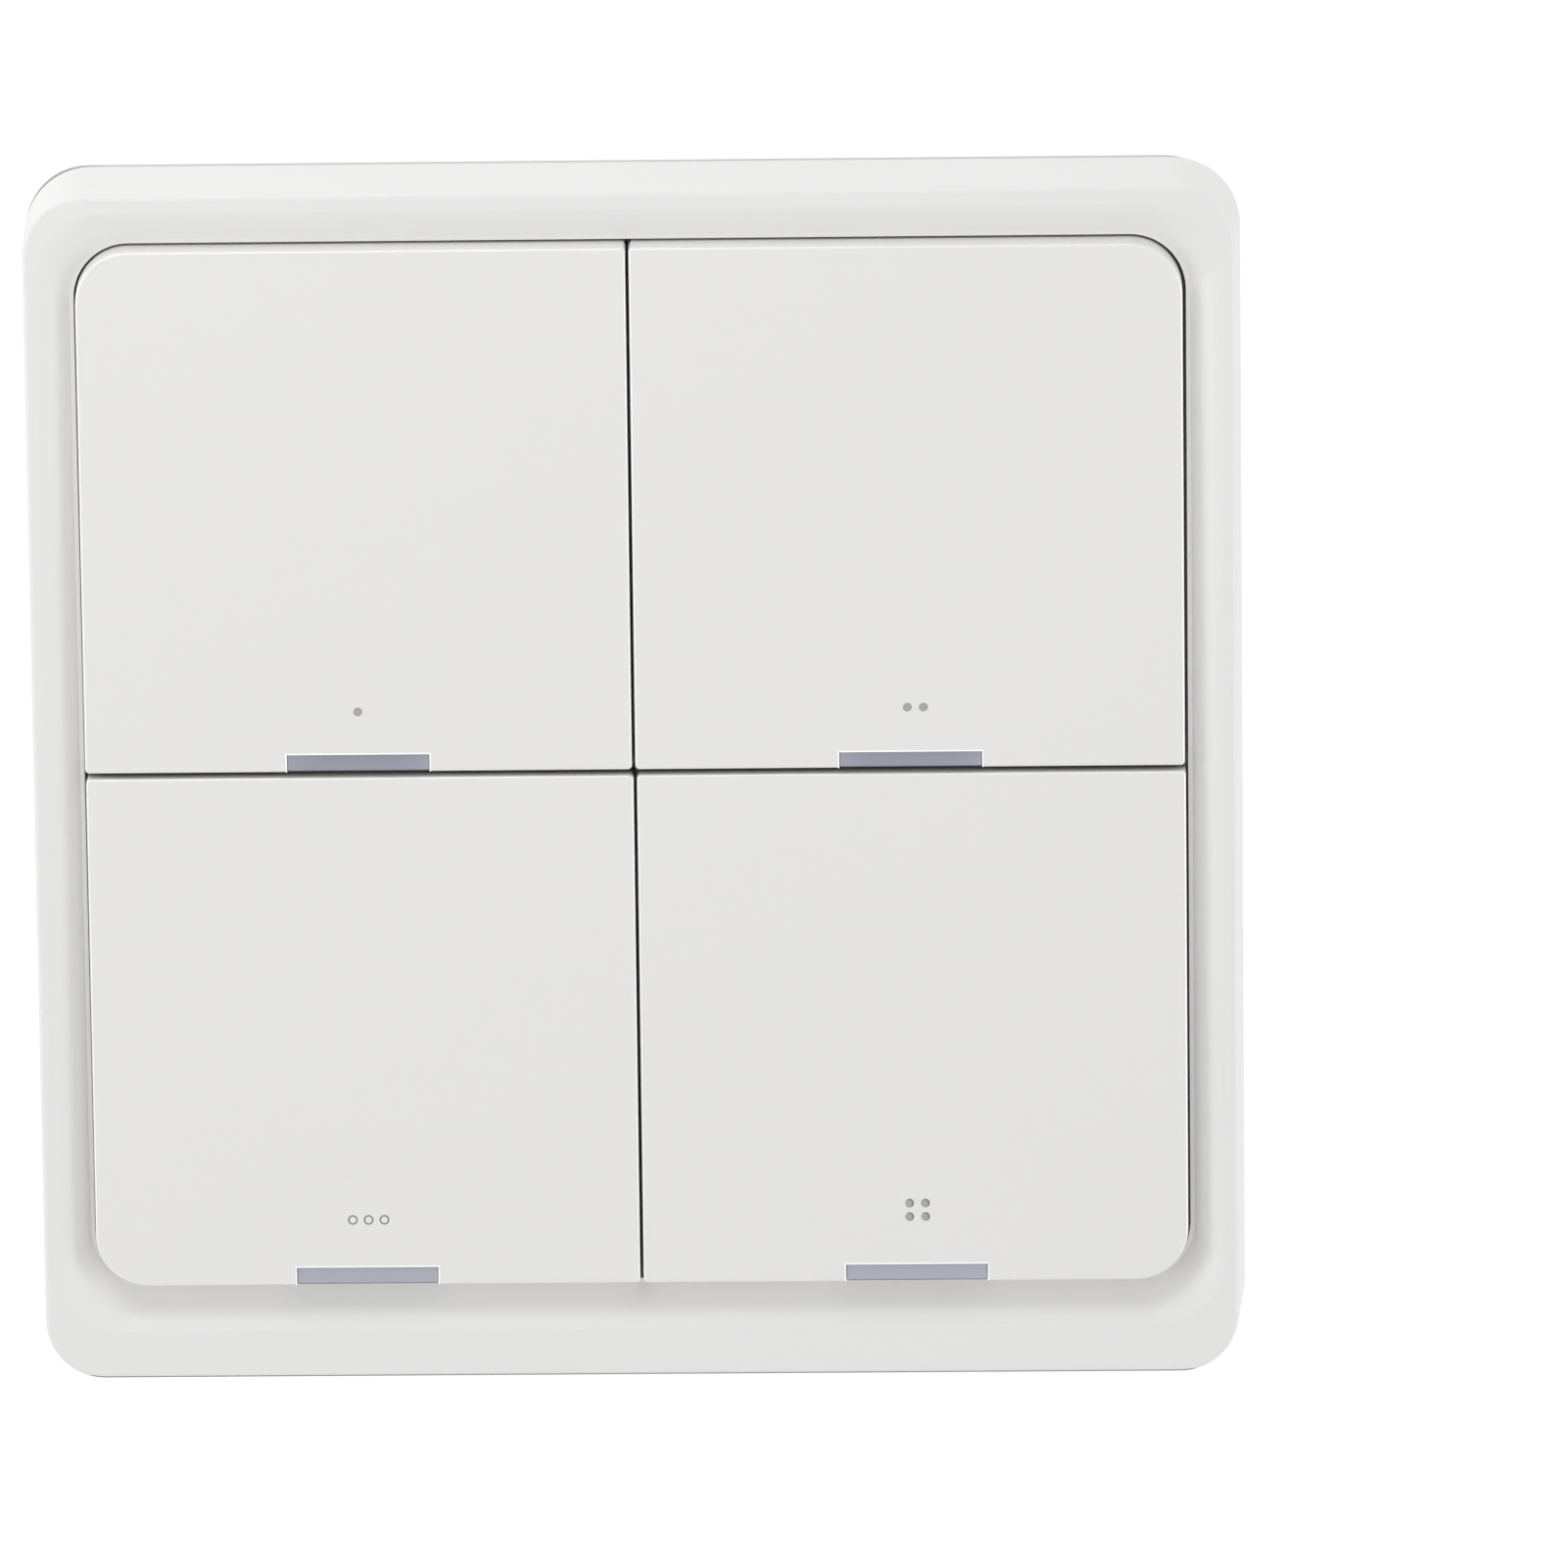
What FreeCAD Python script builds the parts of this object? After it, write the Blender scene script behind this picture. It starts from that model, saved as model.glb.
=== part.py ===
import FreeCAD, Part
import math
import os
from FreeCAD import Vector

# Wireless wall switch with four keys in a dished frame, on a wall plate.
# Sizes are in millimetres. Every piece is drawn lying on its back: X to the right, Y up the
# wall and Z out of the wall, with Z = 0 at the wall. stand_up() then turns it to face -Y.

# Frame
wall_size = 86.0          # width and height where the frame meets the wall plate
frame_draft = 0.65        # how far each side leans in between the wall and the crest
frame_corner = 4.8        # outer corners
crest_round = 0.35        # rounding of the outer front edge
frame_wall = 2.2          # side wall at its open back edge
dish_depth = 2.0          # crest down to the trough beside the keys
dish_bias = 1.6           # above 1, the wall of the dish is steepest nearer to the keys
dish_steps = 6            # strips that the curved wall of the dish is made of
rim_side = 0.8            # flat rim, left and right
rim_top = 1.1             # flat rim above the keys
rim_chin = 3.8            # flat rim below the keys
trough_width = 0.3        # flat floor of the dish beside the gap
pry_width = 9.0           # notch for a screwdriver under the lower edge
pry_height = 1.4

# Keys
side_margin = 3.61        # crest outline to the keys, left and right
top_margin = 3.83
chin_margin = 6.67
key_height = 4.4          # front of the chassis to the key face
gap_beside = 0.22         # between a left and a right key
gap_above = 0.3           # between an upper and a lower key
frame_gap = 0.22          # between the keys and the frame
cross_offset = -0.12      # the cross gap lies this far from the middle of the key group
key_set_back = 0.1        # key face behind the crest
key_plate = 1.6           # thickness of the key face
key_skirt_wall = 1.4
key_corner = 4.0          # the corner of a key that lies in the frame's corner
key_cross_corner = 0.5    # its other three corners
key_inner_corner = 0.3    # inside the skirt, where the outside has a small corner
key_edge_round = 0.2
key_travel = 0.5          # at the lower edge of a key
key_stop_gap = 0.6        # skirt to chassis
rib_thick = 1.0
rib_height = 1.1
rib_spacing = 14.0        # the two ribs that run up a key
rib_places = (6.0, 17.5, 26.0)   # ribs across, below the hinge axis

# Key hinges
hinge_wall_gap = 0.3      # hinge post to the skirt above it
pin_radius = 0.8
pin_length = 2.2
pin_clearance = 0.05
post_spacing = 28.0       # the two hinge posts of a key, centre to centre
post_width = 2.4
post_half_height = 1.5
post_cap = 0.2            # wall of the post in front of the pin
ear_thick = 1.6
ear_clearance = 0.3

# Light windows and dot marks in the keys
window_length = 10.0
window_height = 1.1
window_recess = 0.2
window_backing = 1.5      # block of the key behind the window
window_lug = 1.2          # side of the two lugs that hold the window
window_lug_spacing = 5.0
dot_radius = 0.32
dot_pitch = 1.12
dot_row_pitch = 0.98
dot_line = 0.14           # width of the line of a ring
dot_engraving = 0.08
dot_height_upper = 4.4    # lowest row above the lower edge, upper keys
dot_height_lower = 4.7    # the same on the lower keys

# Chassis
chassis_clearance = 0.15  # to the side walls of the frame
chassis_plate = 1.2
chassis_wall = 1.4
chassis_wall_overlap = 0.4   # the wall reaches this far behind the front of the board
clip_inset = 0.4             # clips above the open edge of the wall
clip_length = 6.0
clip_height = 1.0
clip_reach = 0.8
clip_clearance = 0.1
clip_places = (-22.0, 22.0)
boss_radius = 2.6
spigot_radius = 1.7
light_slot_height = 1.8

# Circuit board and what it carries
board_thick = 1.0
board_gap = 0.6           # rear cover to the board
board_edge_gap = 2.2      # board edge inside the wall of the chassis
board_corner = 2.0
board_hole_clearance = 0.15
switch_size = 6.0
switch_height = 3.4
switch_window_clearance = 0.4
plunger_radius = 1.75
plunger_clearance = 0.05
plunger_proud = 1.2       # plunger out of its switch body
plunger_stem = 0.8        # plunger inside its switch body
actuator_lever = 20.0     # key actuator below the hinge axis
actuator_radius = 1.5
actuator_tip = 0.4        # flat end of its conical tip
actuator_taper = 0.5
actuator_gap = 0.02
led_size = (1.6, 0.8, 0.6)
radio_size = (16.0, 18.0, 0.8)
radio_edge_gap = 3.0      # radio board to the upper edge of the circuit board
shield_size = (12.0, 11.0, 1.1)
shield_thick = 0.2
shield_inset = 1.0        # shield above the lower edge of the radio board
antenna_size = (9.0, 2.0, 1.0)
chip_size = 5.0
chip_height = 0.9
chip_spacing = 16.0       # chip to the right of the radio board, centre to centre
crystal_size = (3.2, 2.5, 0.8)
capacitor_size = (2.0, 1.25, 1.0)
capacitor_count = 5
capacitor_pitch = 3.2
capacitor_spacing = 12.0  # capacitors to the left of the radio board, centre to centre

# Battery
cell_radius = 10.0
cell_height = 3.2
cell_edge = 0.25
cell_cap_height = 0.4     # raised cap on the side that faces the chassis
cell_cap_inset = 1.2
cell_edge_gap = 16.0      # cell to the lower edge of the circuit board
cell_clearance = 0.35
cell_set_in = 0.4         # cell in front of the back of the rear cover
holder_wall = 1.2
holder_floor = 0.7
holder_relief = 0.3       # hollow in the back of the chassis behind the holder
holder_tab = 3.0          # width of a foot
holder_foot_spacing = 12.0
contact_thick = 0.2
contact_width = 3.0
contact_side_gap = 0.2
contact_rise = 0.4        # negative contact, cell to the floor of the holder
contact_step = 0.6        # contact outside the wall of the holder
contact_foot = 2.4
contact_bump = 4.0        # length of the slope that lifts the leaf to the cell

# Rear cover and its screws
cover_gap = 0.4           # wall plate to the cover
cover_thick = 1.0
cover_clearance = 0.3
cover_corner = 1.0
cover_pad_wall = 0.9
battery_door_clearance = 0.6
screw_inset = 7.5         # screw centres inside the edge of the board
screw_radius = 1.0
screw_head_radius = 1.9
screw_head_height = 0.9
screw_length = 4.0
screw_tip_gap = 0.3
drive_width = 0.5
drive_depth = 0.4

# Wall plate
plate_inset = 0.1         # plate outline inside the frame outline
plate_edge = 1.2          # edge that shows behind the frame
plate_field = 1.6         # thickness inside the ring
frame_lift = 0.1          # frame clear of the plate edge
ring_gap = 0.3            # ring to the wall of the chassis in front of it
ring_wall = 1.4
ring_clearance = 0.35     # ring to the side walls of the frame
grip_clearance = 0.05     # grip ribs to the side walls of the frame
grip_length = 5.0
grip_places = (-27.0, 27.0)
screw_spacing = 60.0      # two fixing slots in line, as on a standard wall box
slot_length = 8.0         # over the whole slot
slot_radius = 2.1
slot_seat_margin = 2.4    # recess for the screw head around the slot
slot_seat_depth = 0.8
strip_width = 8.0
strip_length = 46.0
strip_thick = 0.8
strip_spacing = 34.0
strip_clearance = 0.1
strip_corner = 1.0

# Drawing aids
same_level = 1e-6         # two levels closer than this are one
past_face = 1.0           # cutting tools run this far past the face that they open

# Levels worked out from the sizes above, from the wall outwards
frame_back = plate_edge + frame_lift
cover_face = plate_field + cover_gap
cover_front = cover_face + cover_thick
board_back = cover_front + board_gap
board_front = board_back + board_thick
switch_top = board_front + switch_height
plunger_top = switch_top + plunger_proud
chassis_front = switch_top
chassis_back = chassis_front - chassis_plate
chassis_end = board_front - chassis_wall_overlap
clip_low = chassis_end + clip_inset
ring_top = chassis_end - ring_gap
key_face = chassis_front + key_height
key_under = key_face - key_plate
key_skirt_end = chassis_front + key_stop_gap
hinge_level = (chassis_front + key_under) / 2
hinge_below_top = key_skirt_wall + hinge_wall_gap + post_half_height
frame_depth = key_face + key_set_back
cell_face = cover_face + cell_set_in
holder_floor_level = cell_face + cell_height + contact_rise

# Outlines as (left, right, bottom, top)
half = wall_size / 2
crest_half = half - frame_draft
cavity_half = half - frame_wall
key_group = (side_margin - crest_half, crest_half - side_margin,
             chin_margin - crest_half, crest_half - top_margin)
cross_y = (key_group[2] + key_group[3]) / 2 + cross_offset
cavity_corner = frame_corner - frame_wall
board_half = cavity_half - chassis_clearance - chassis_wall - board_edge_gap
cell_place = (0.0, cell_edge_gap + cell_radius - board_half)
radio_place = (0.0, board_half - radio_edge_gap - radio_size[1] / 2)


def square(half_size):
    """Box of a square about the middle of the switch."""
    return (-half_size, half_size, -half_size, half_size)


def grown(box, by):
    """A box with each side moved outwards."""
    return (box[0] - by, box[1] + by, box[2] - by, box[3] + by)


def around(centre, width, height):
    """Box of a given size about a point."""
    x, y = centre
    return (x - width / 2, x + width / 2, y - height / 2, y + height / 2)


def outline(box, level, radii):
    """Rectangle with its corners rounded: lower left, lower right, upper right, upper left."""
    x0, x1, y0, y1 = box
    corners = [(x0, y0, 1, 1), (x1, y0, -1, 1), (x1, y1, -1, -1), (x0, y1, 1, -1)]
    edges = []
    ends = []
    for turn, ((x, y, sx, sy), radius) in enumerate(zip(corners, radii)):
        start = math.radians(180 + 90 * turn)
        centre = Vector(x + sx * radius, y + sy * radius, level)
        circle = Part.Circle(centre, Vector(0, 0, 1), radius)
        arc = Part.Arc(circle, start, start + math.pi / 2)
        edges.append(arc.toShape())
        ends.append((arc.StartPoint, arc.EndPoint))
    lines = []
    for side in range(4):
        line = Part.LineSegment(ends[side][1], ends[(side + 1) % 4][0])
        lines.append(line.toShape())
    ordered = [edge for pair in zip(edges, lines) for edge in pair]
    return Part.Wire(ordered)


def slab(box, low, high, radius=0.0, radii=None):
    """Plate between two levels, with square or rounded corners."""
    x0, x1, y0, y1 = box
    if radii is None and radius == 0.0:
        return Part.makeBox(x1 - x0, y1 - y0, high - low, Vector(x0, y0, low))
    wire = outline(box, low, radii or (radius,) * 4)
    return Part.Face(wire).extrude(Vector(0, 0, high - low))


def rod(centre, radius, low, high):
    """Round bar square to the wall."""
    return Part.makeCylinder(radius, high - low, Vector(centre[0], centre[1], low))


def slot(centre, length, radius, low, high):
    """Long hole along X with round ends."""
    box = around(centre, length, 2 * radius)
    body = slab(around(centre, length - 2 * radius, 2 * radius), low, high)
    left = rod((box[0] + radius, centre[1]), radius, low, high)
    right = rod((box[1] - radius, centre[1]), radius, low, high)
    return body.fuse([left, right]).removeSplitter()


def joined(pieces):
    """Fuses a list of touching solids to one."""
    return pieces[0].fuse(pieces[1:]).removeSplitter()


def edges_at(shape, level):
    """Edges that lie wholly at one level."""
    return [edge for edge in shape.Edges
            if all(abs(vertex.Z - level) < same_level for vertex in edge.Vertexes)]


def stand_up(shape):
    """Turns a piece from lying on its back to standing against the wall."""
    shape = shape.copy()
    shape.rotate(Vector(0, 0, 0), Vector(1, 0, 0), 90)
    return shape


def save(name, shape):
    stand_up(shape).exportStep("parts/" + name + ".step")


# Places on the face of each key: 1 upper left, 2 upper right, 3 lower left, 4 lower right

def is_left(number):
    return number in (1, 3)


def is_upper(number):
    return number in (1, 2)


def key_box(number):
    left, right, bottom, top = key_group
    x_range = (left, -gap_beside / 2) if is_left(number) else (gap_beside / 2, right)
    y_range = (cross_y + gap_above / 2, top) if is_upper(number) else (bottom, cross_y - gap_above / 2)
    return x_range + y_range


def key_middle_x(number):
    box = key_box(number)
    return (box[0] + box[1]) / 2


def hinge_y(number):
    return key_box(number)[3] - hinge_below_top


def switch_place(number):
    return (key_middle_x(number), hinge_y(number) - actuator_lever)


def window_box(number):
    """The window lies on the lower edge of its key."""
    middle = key_middle_x(number)
    low = key_box(number)[2]
    return (middle - window_length / 2, middle + window_length / 2, low, low + window_height)


def screw_places():
    reach = board_half - screw_inset
    return [(x, y) for x in (-reach, reach) for y in (-reach, reach)]


# Frame: one moulding with leaning sides, a flat rim and a dish that falls to the keys

def tapered_square(low_half, high_half, corner, low, high):
    """Square block whose sides lean in, with round corners about upright centre lines."""
    inner = low_half - corner
    profile = [(-low_half, low), (low_half, low), (high_half, high), (-high_half, high)]
    across = Part.Face(Part.makePolygon([Vector(x, -inner, z) for x, z in profile + profile[:1]]))
    along = Part.Face(Part.makePolygon([Vector(-inner, y, z) for y, z in profile + profile[:1]]))
    pieces = [across.extrude(Vector(0, 2 * inner, 0)), along.extrude(Vector(2 * inner, 0, 0))]
    for x in (-inner, inner):
        for y in (-inner, inner):
            pieces.append(Part.makeCone(corner, corner - (low_half - high_half), high - low,
                                        Vector(x, y, low)))
    return joined(pieces)


def dish():
    """Hollow of the dish: its wall falls from the rim to the trough in an S-shaped curve."""
    rim = (rim_side - crest_half, crest_half - rim_side,
           rim_chin - crest_half, crest_half - rim_top)
    floor = grown(key_group, frame_gap + trough_width)
    rim_corner = key_corner + (floor[0] - rim[0]) / 2
    sections = []
    for step in range(dish_steps + 1):
        share = step / dish_steps             # 0 at the rim, 1 at the trough
        bent = share ** dish_bias
        fall = (bent + (1 - math.cos(math.pi * bent)) / 2) / 2
        box = tuple(a + (b - a) * share for a, b in zip(rim, floor))
        corner = rim_corner + (key_corner - rim_corner) * share
        sections.append(outline(box, frame_depth - dish_depth * fall, (corner,) * 4))
    return Part.makeLoft(sections, True, True)


def frame():
    body = tapered_square(half, crest_half, frame_corner, frame_back, frame_depth)
    body = body.makeFillet(crest_round, edges_at(body, frame_depth))
    cavity = slab(square(cavity_half), frame_back, chassis_front, cavity_corner)
    opening = slab(grown(key_group, frame_gap), frame_back, frame_depth, key_corner + frame_gap)
    body = body.cut([dish(), cavity, opening])
    body = body.cut(clip_pockets() + chin_pockets())
    notch = slab(around((0, -half), pry_width, 4 * frame_wall), frame_back, frame_back + pry_height)
    return body.cut(notch).removeSplitter()


def chin_pockets():
    """Coring behind the wide lower rim, so that the moulding has walls of even thickness."""
    inner = key_group[2] - frame_gap - frame_wall
    outer = frame_wall - crest_half
    count = 4
    pitch = (key_group[1] - key_group[0] - 2 * key_corner) / count
    pockets = []
    for number in range(count):
        middle = (number - (count - 1) / 2) * pitch
        box = (middle - pitch / 2 + rib_thick / 2, middle + pitch / 2 - rib_thick / 2, outer, inner)
        pockets.append(slab(box, chassis_front, frame_depth - frame_wall))
    return pockets


def clip_box(side, y, reach, grow):
    """Box of a clip on the left (-1) or right (1) wall of the chassis."""
    wall = cavity_half - chassis_clearance
    inner = side * (wall - chassis_wall)
    outer = side * (wall + reach)
    x0, x1 = sorted((inner, outer))
    return (x0, x1, y - clip_length / 2 - grow, y + clip_length / 2 + grow)


def clips():
    return [slab(clip_box(side, y, clip_reach, 0), clip_low, clip_low + clip_height)
            for side in (-1, 1) for y in clip_places]


def clip_pockets():
    return [slab(clip_box(side, y, clip_reach + clip_clearance, clip_clearance),
                 clip_low - clip_clearance, clip_low + clip_height + clip_clearance)
            for side in (-1, 1) for y in clip_places]


# Key caps: thin shells with a skirt, ribs, two hinge ears with pins, an actuator and a notch
# for the light window in the lower edge

def hinge_sides(number):
    """Middle x of each hinge post and the direction from it towards the middle of the key."""
    middle = key_middle_x(number)
    return [(middle - post_spacing / 2, 1), (middle + post_spacing / 2, -1)]


def hinge_ears(number):
    pieces = []
    y = hinge_y(number)
    for post_x, inwards in hinge_sides(number):
        near = post_x + inwards * (post_width / 2 + ear_clearance)
        far = near + inwards * ear_thick
        x0, x1 = sorted((near, far))
        low = hinge_level - pin_radius
        pieces.append(slab((x0, x1, y - post_half_height, y + post_half_height), low, key_under))
        tip = near - inwards * pin_length
        pieces.append(Part.makeCylinder(pin_radius, pin_length, Vector(min(near, tip), y, hinge_level),
                                        Vector(1, 0, 0)))
    return pieces


def actuator(number):
    """Round post whose conical tip rests on the plunger of the switch."""
    place = switch_place(number)
    low = plunger_top + actuator_gap
    tip = Part.makeCone(actuator_tip, actuator_radius, actuator_taper, Vector(place[0], place[1], low))
    return tip.fuse(rod(place, actuator_radius, low + actuator_taper, key_under))


def key_ribs(number):
    """Two ribs up and three across, clear of the hinge posts."""
    box = key_box(number)
    inside = grown(box, -key_skirt_wall)
    middle = key_middle_x(number)
    low = key_under - rib_height
    ribs = []
    for x in (middle - rib_spacing / 2, middle + rib_spacing / 2):
        ribs.append(slab((x - rib_thick / 2, x + rib_thick / 2, inside[2], inside[3]), low, key_under))
    for place in rib_places:
        y = hinge_y(number) - place
        ribs.append(slab((inside[0], inside[1], y - rib_thick / 2, y + rib_thick / 2), low, key_under))
    return ribs


def dot_marks(number):
    """Engraved marks that count the keys: one dot, two dots, three rings, four dots."""
    places = {
        1: [(0, 0)],
        2: [(-0.5, 0), (0.5, 0)],
        3: [(-1, 0), (0, 0), (1, 0)],
        4: [(-0.5, 0), (0.5, 0), (-0.5, 1), (0.5, 1)],
    }[number]
    base = key_box(number)[2] + (dot_height_upper if is_upper(number) else dot_height_lower)
    pits = []
    for column, row in places:
        centre = (key_middle_x(number) + column * dot_pitch, base + row * dot_row_pitch)
        low, high = key_face - dot_engraving, key_face + past_face
        pit = rod(centre, dot_radius, low, high)
        if number == 3:
            pit = pit.cut(rod(centre, dot_radius - dot_line, low, high))
        pits.append(pit)
    return pits


def window_lugs(number):
    box = window_box(number)
    middle = key_middle_x(number)
    level = key_under - rib_height
    lugs = []
    for side in (-1, 1):
        x = middle + side * window_lug_spacing / 2
        lugs.append(slab((x - window_lug / 2, x + window_lug / 2, box[3], box[3] + window_backing),
                         level - window_lug, level))
    return lugs


def key_cap(number):
    box = key_box(number)
    radii = [key_cross_corner] * 4
    radii[{1: 3, 2: 2, 3: 0, 4: 1}[number]] = key_corner
    body = slab(box, key_skirt_end, key_face, radii=radii)
    body = body.makeFillet(key_edge_round, edges_at(body, key_face))
    inner_radii = [max(radius - key_skirt_wall, key_inner_corner) for radius in radii]
    body = body.cut(slab(grown(box, -key_skirt_wall), key_skirt_end, key_under, radii=inner_radii))
    window = window_box(number)
    backing = (window[0] - rib_thick, window[1] + rib_thick, window[3], window[3] + window_backing)
    additions = key_ribs(number) + hinge_ears(number) + [actuator(number)]
    additions.append(slab(backing, key_skirt_end, key_under))
    body = joined([body] + additions)
    cuts = dot_marks(number) + window_lugs(number)
    cuts.append(slab(window, key_skirt_end, key_face + past_face))
    return body.cut(cuts).removeSplitter()


def light_window(number):
    """Clear bar that carries the indicator light to the face of its key."""
    bar = slab(window_box(number), key_skirt_end, key_face - window_recess)
    return joined([bar] + window_lugs(number))


# Chassis: the carrier behind the keys, with hinge posts, switch windows, light slots and
# four screw bosses that locate the circuit board

def hinge_posts(number):
    y = hinge_y(number)
    posts = []
    for post_x, _ in hinge_sides(number):
        top = hinge_level + pin_radius + pin_clearance + post_cap
        box = around((post_x, y), post_width, 2 * post_half_height)
        post = slab(box, chassis_back, top)
        hole = Part.makeCylinder(pin_radius + pin_clearance, post_width,
                                 Vector(post_x - post_width / 2, y, hinge_level), Vector(1, 0, 0))
        posts.append(post.cut(hole))
    return posts


def light_slot(number):
    box = window_box(number)
    middle_y = (box[2] + box[3]) / 2
    return slab(around((key_middle_x(number), middle_y), window_length, light_slot_height),
                chassis_back, chassis_front)


def chassis():
    outer = cavity_half - chassis_clearance
    corner = cavity_corner - chassis_clearance
    body = slab(square(outer), chassis_end, chassis_front, corner)
    body = body.cut(slab(square(outer - chassis_wall), chassis_end, chassis_back,
                         corner - chassis_wall))
    additions = clips()
    for place in screw_places():
        additions.append(rod(place, boss_radius, board_front, chassis_back))
        additions.append(rod(place, spigot_radius, cover_front, board_front))
    for number in (1, 2, 3, 4):
        additions += hinge_posts(number)
    body = joined([body] + additions)
    cuts = [light_slot(number) for number in (1, 2, 3, 4)]
    for number in (1, 2, 3, 4):
        side = switch_size + 2 * switch_window_clearance
        cuts.append(slab(around(switch_place(number), side, side), chassis_back, chassis_front))
    cuts.append(rod(cell_place, holder_radius() + board_hole_clearance, board_front,
                    holder_floor_level + holder_floor + holder_relief))
    for place in screw_places():
        cuts.append(rod(place, screw_radius, cover_front,
                        cover_face + screw_length + screw_tip_gap))
    return body.cut(cuts).removeSplitter()


# Circuit board with the four key switches, indicator lights and radio

def circuit_board():
    body = slab(square(board_half), board_back, board_front, board_corner)
    holes = [rod(place, spigot_radius + board_hole_clearance, board_back, board_front)
             for place in screw_places()]
    holes.append(rod(cell_place, holder_radius() + board_hole_clearance, board_back, board_front))
    return body.cut(holes)


def switch_body(number):
    place = switch_place(number)
    body = slab(around(place, switch_size, switch_size), board_front, switch_top)
    bore = rod(place, plunger_radius + plunger_clearance,
               switch_top - plunger_stem - key_travel, switch_top)
    return body.cut(bore)


def switch_plunger(number):
    return rod(switch_place(number), plunger_radius, switch_top - plunger_stem, plunger_top)


def indicator_leds():
    leds = []
    for number in (1, 2, 3, 4):
        box = window_box(number)
        place = (key_middle_x(number), (box[2] + box[3]) / 2)
        leds.append(slab(around(place, led_size[0], led_size[1]), board_front,
                         board_front + led_size[2]))
    return Part.makeCompound(leds)


def radio_board():
    return slab(around(radio_place, radio_size[0], radio_size[1]), board_front,
                board_front + radio_size[2])


def radio_shield():
    """Pressed steel can over the lower part of the radio board."""
    low = board_front + radio_size[2]
    y = radio_place[1] - (radio_size[1] - shield_size[1]) / 2 + shield_inset
    box = around((radio_place[0], y), shield_size[0], shield_size[1])
    can = slab(box, low, low + shield_size[2])
    return can.cut(slab(grown(box, -shield_thick), low, low + shield_size[2] - shield_thick))


def antenna():
    low = board_front + radio_size[2]
    y = radio_place[1] + radio_size[1] / 2 - antenna_size[1]
    return slab(around((radio_place[0], y), antenna_size[0], antenna_size[1]), low,
                low + antenna_size[2])


def controller_chip():
    place = (radio_place[0] + chip_spacing, radio_place[1])
    return slab(around(place, chip_size, chip_size), board_front, board_front + chip_height)


def crystal():
    place = (radio_place[0] + chip_spacing, radio_place[1] + chip_size)
    return slab(around(place, crystal_size[0], crystal_size[1]), board_front,
                board_front + crystal_size[2])


def capacitors():
    row = []
    for number in range(capacitor_count):
        y = radio_place[1] + (number - (capacitor_count - 1) / 2) * capacitor_pitch
        place = (radio_place[0] - capacitor_spacing, y)
        row.append(slab(around(place, capacitor_size[0], capacitor_size[1]), board_front,
                        board_front + capacitor_size[2]))
    return Part.makeCompound(row)


# Battery: a coin cell in a round cup that fills the hole in the board, with two spring contacts

def holder_radius():
    return cell_radius + cell_clearance + holder_wall


def contact_slot(side):
    """Way out through the wall of the cup for the tail of a contact."""
    reach = side * (holder_radius() + holder_tab)
    x0, x1 = sorted((0.0, reach))
    width = contact_width / 2 + contact_side_gap
    return slab((cell_place[0] + x0, cell_place[0] + x1, cell_place[1] - width,
                 cell_place[1] + width), board_front, holder_floor_level)


def battery_holder():
    """Round cup with four feet that rest on the front of the board."""
    cup = rod(cell_place, holder_radius(), cover_front, holder_floor_level + holder_floor)
    feet = []
    for x in (-1, 1):
        for y in (-1, 1):
            centre = (cell_place[0] + x * holder_foot_spacing / 2,
                      cell_place[1] + y * holder_radius())
            feet.append(slab(around(centre, holder_tab, 2 * holder_tab), board_front,
                             holder_floor_level))
    body = joined([cup] + feet)
    body = body.cut(rod(cell_place, cell_radius + cell_clearance, cover_front, holder_floor_level))
    return body.cut([contact_slot(-1), contact_slot(1)]).removeSplitter()


def coin_cell():
    """Can with a slightly smaller cap on the side that faces the board."""
    can_height = cell_height - cell_cap_height
    can = rod(cell_place, cell_radius, cell_face, cell_face + can_height)
    back_rim = [edge for edge in can.Edges if abs(edge.BoundBox.ZMax - cell_face) < 1e-6]
    can = can.makeChamfer(cell_edge, back_rim)
    cap = rod(cell_place, cell_radius - cell_cap_inset, cell_face + can_height,
              cell_face + cell_height)
    return joined([can, cap])


def strip_profile(points, y):
    """Spring strip of contact_width that follows points given as (x, level) of its lower face."""
    upper = [(x, level + contact_thick) for x, level in reversed(points)]
    ring = [Vector(x, y - contact_width / 2, level) for x, level in points + upper]
    return Part.Face(Part.makePolygon(ring + ring[:1])).extrude(Vector(0, contact_width, 0))


def battery_contact_negative():
    """Leaf under the cell cap; its tail comes down on the board to the left."""
    x, y = cell_place
    low = holder_floor_level - contact_thick
    leave = x - holder_radius() - contact_step
    return strip_profile([(leave - contact_foot, board_front), (leave, board_front),
                          (leave + contact_step, low), (x - contact_bump, low),
                          (x, cell_face + cell_height), (x + contact_bump, low)], y)


def battery_contact_positive():
    """Upright leaf that presses on the side of the cell, with its foot on the board."""
    x, y = cell_place
    inner = x + cell_radius
    outer = x + holder_radius() + contact_step + contact_foot
    low, high = y - contact_width / 2, y + contact_width / 2
    foot = slab((inner, outer, low, high), board_front, board_front + contact_thick)
    blade = slab((inner, inner + contact_thick, low, high), cell_face + 2 * cell_edge,
                 board_front + contact_thick)
    return joined([foot, blade])


# Rear cover, screwed to the chassis from behind

def battery_door_radius():
    return cell_radius + battery_door_clearance


def cover_windows():
    """Room for the battery and for the heads of the two wall screws."""
    low, high = cover_face, cover_front
    windows = [rod(cell_place, battery_door_radius(), low, high)]
    for x in (-screw_spacing / 2, screw_spacing / 2):
        windows.append(slot((x, 0), slot_length + 2 * slot_seat_margin,
                            slot_radius + slot_seat_margin, low, high))
    return windows


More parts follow.
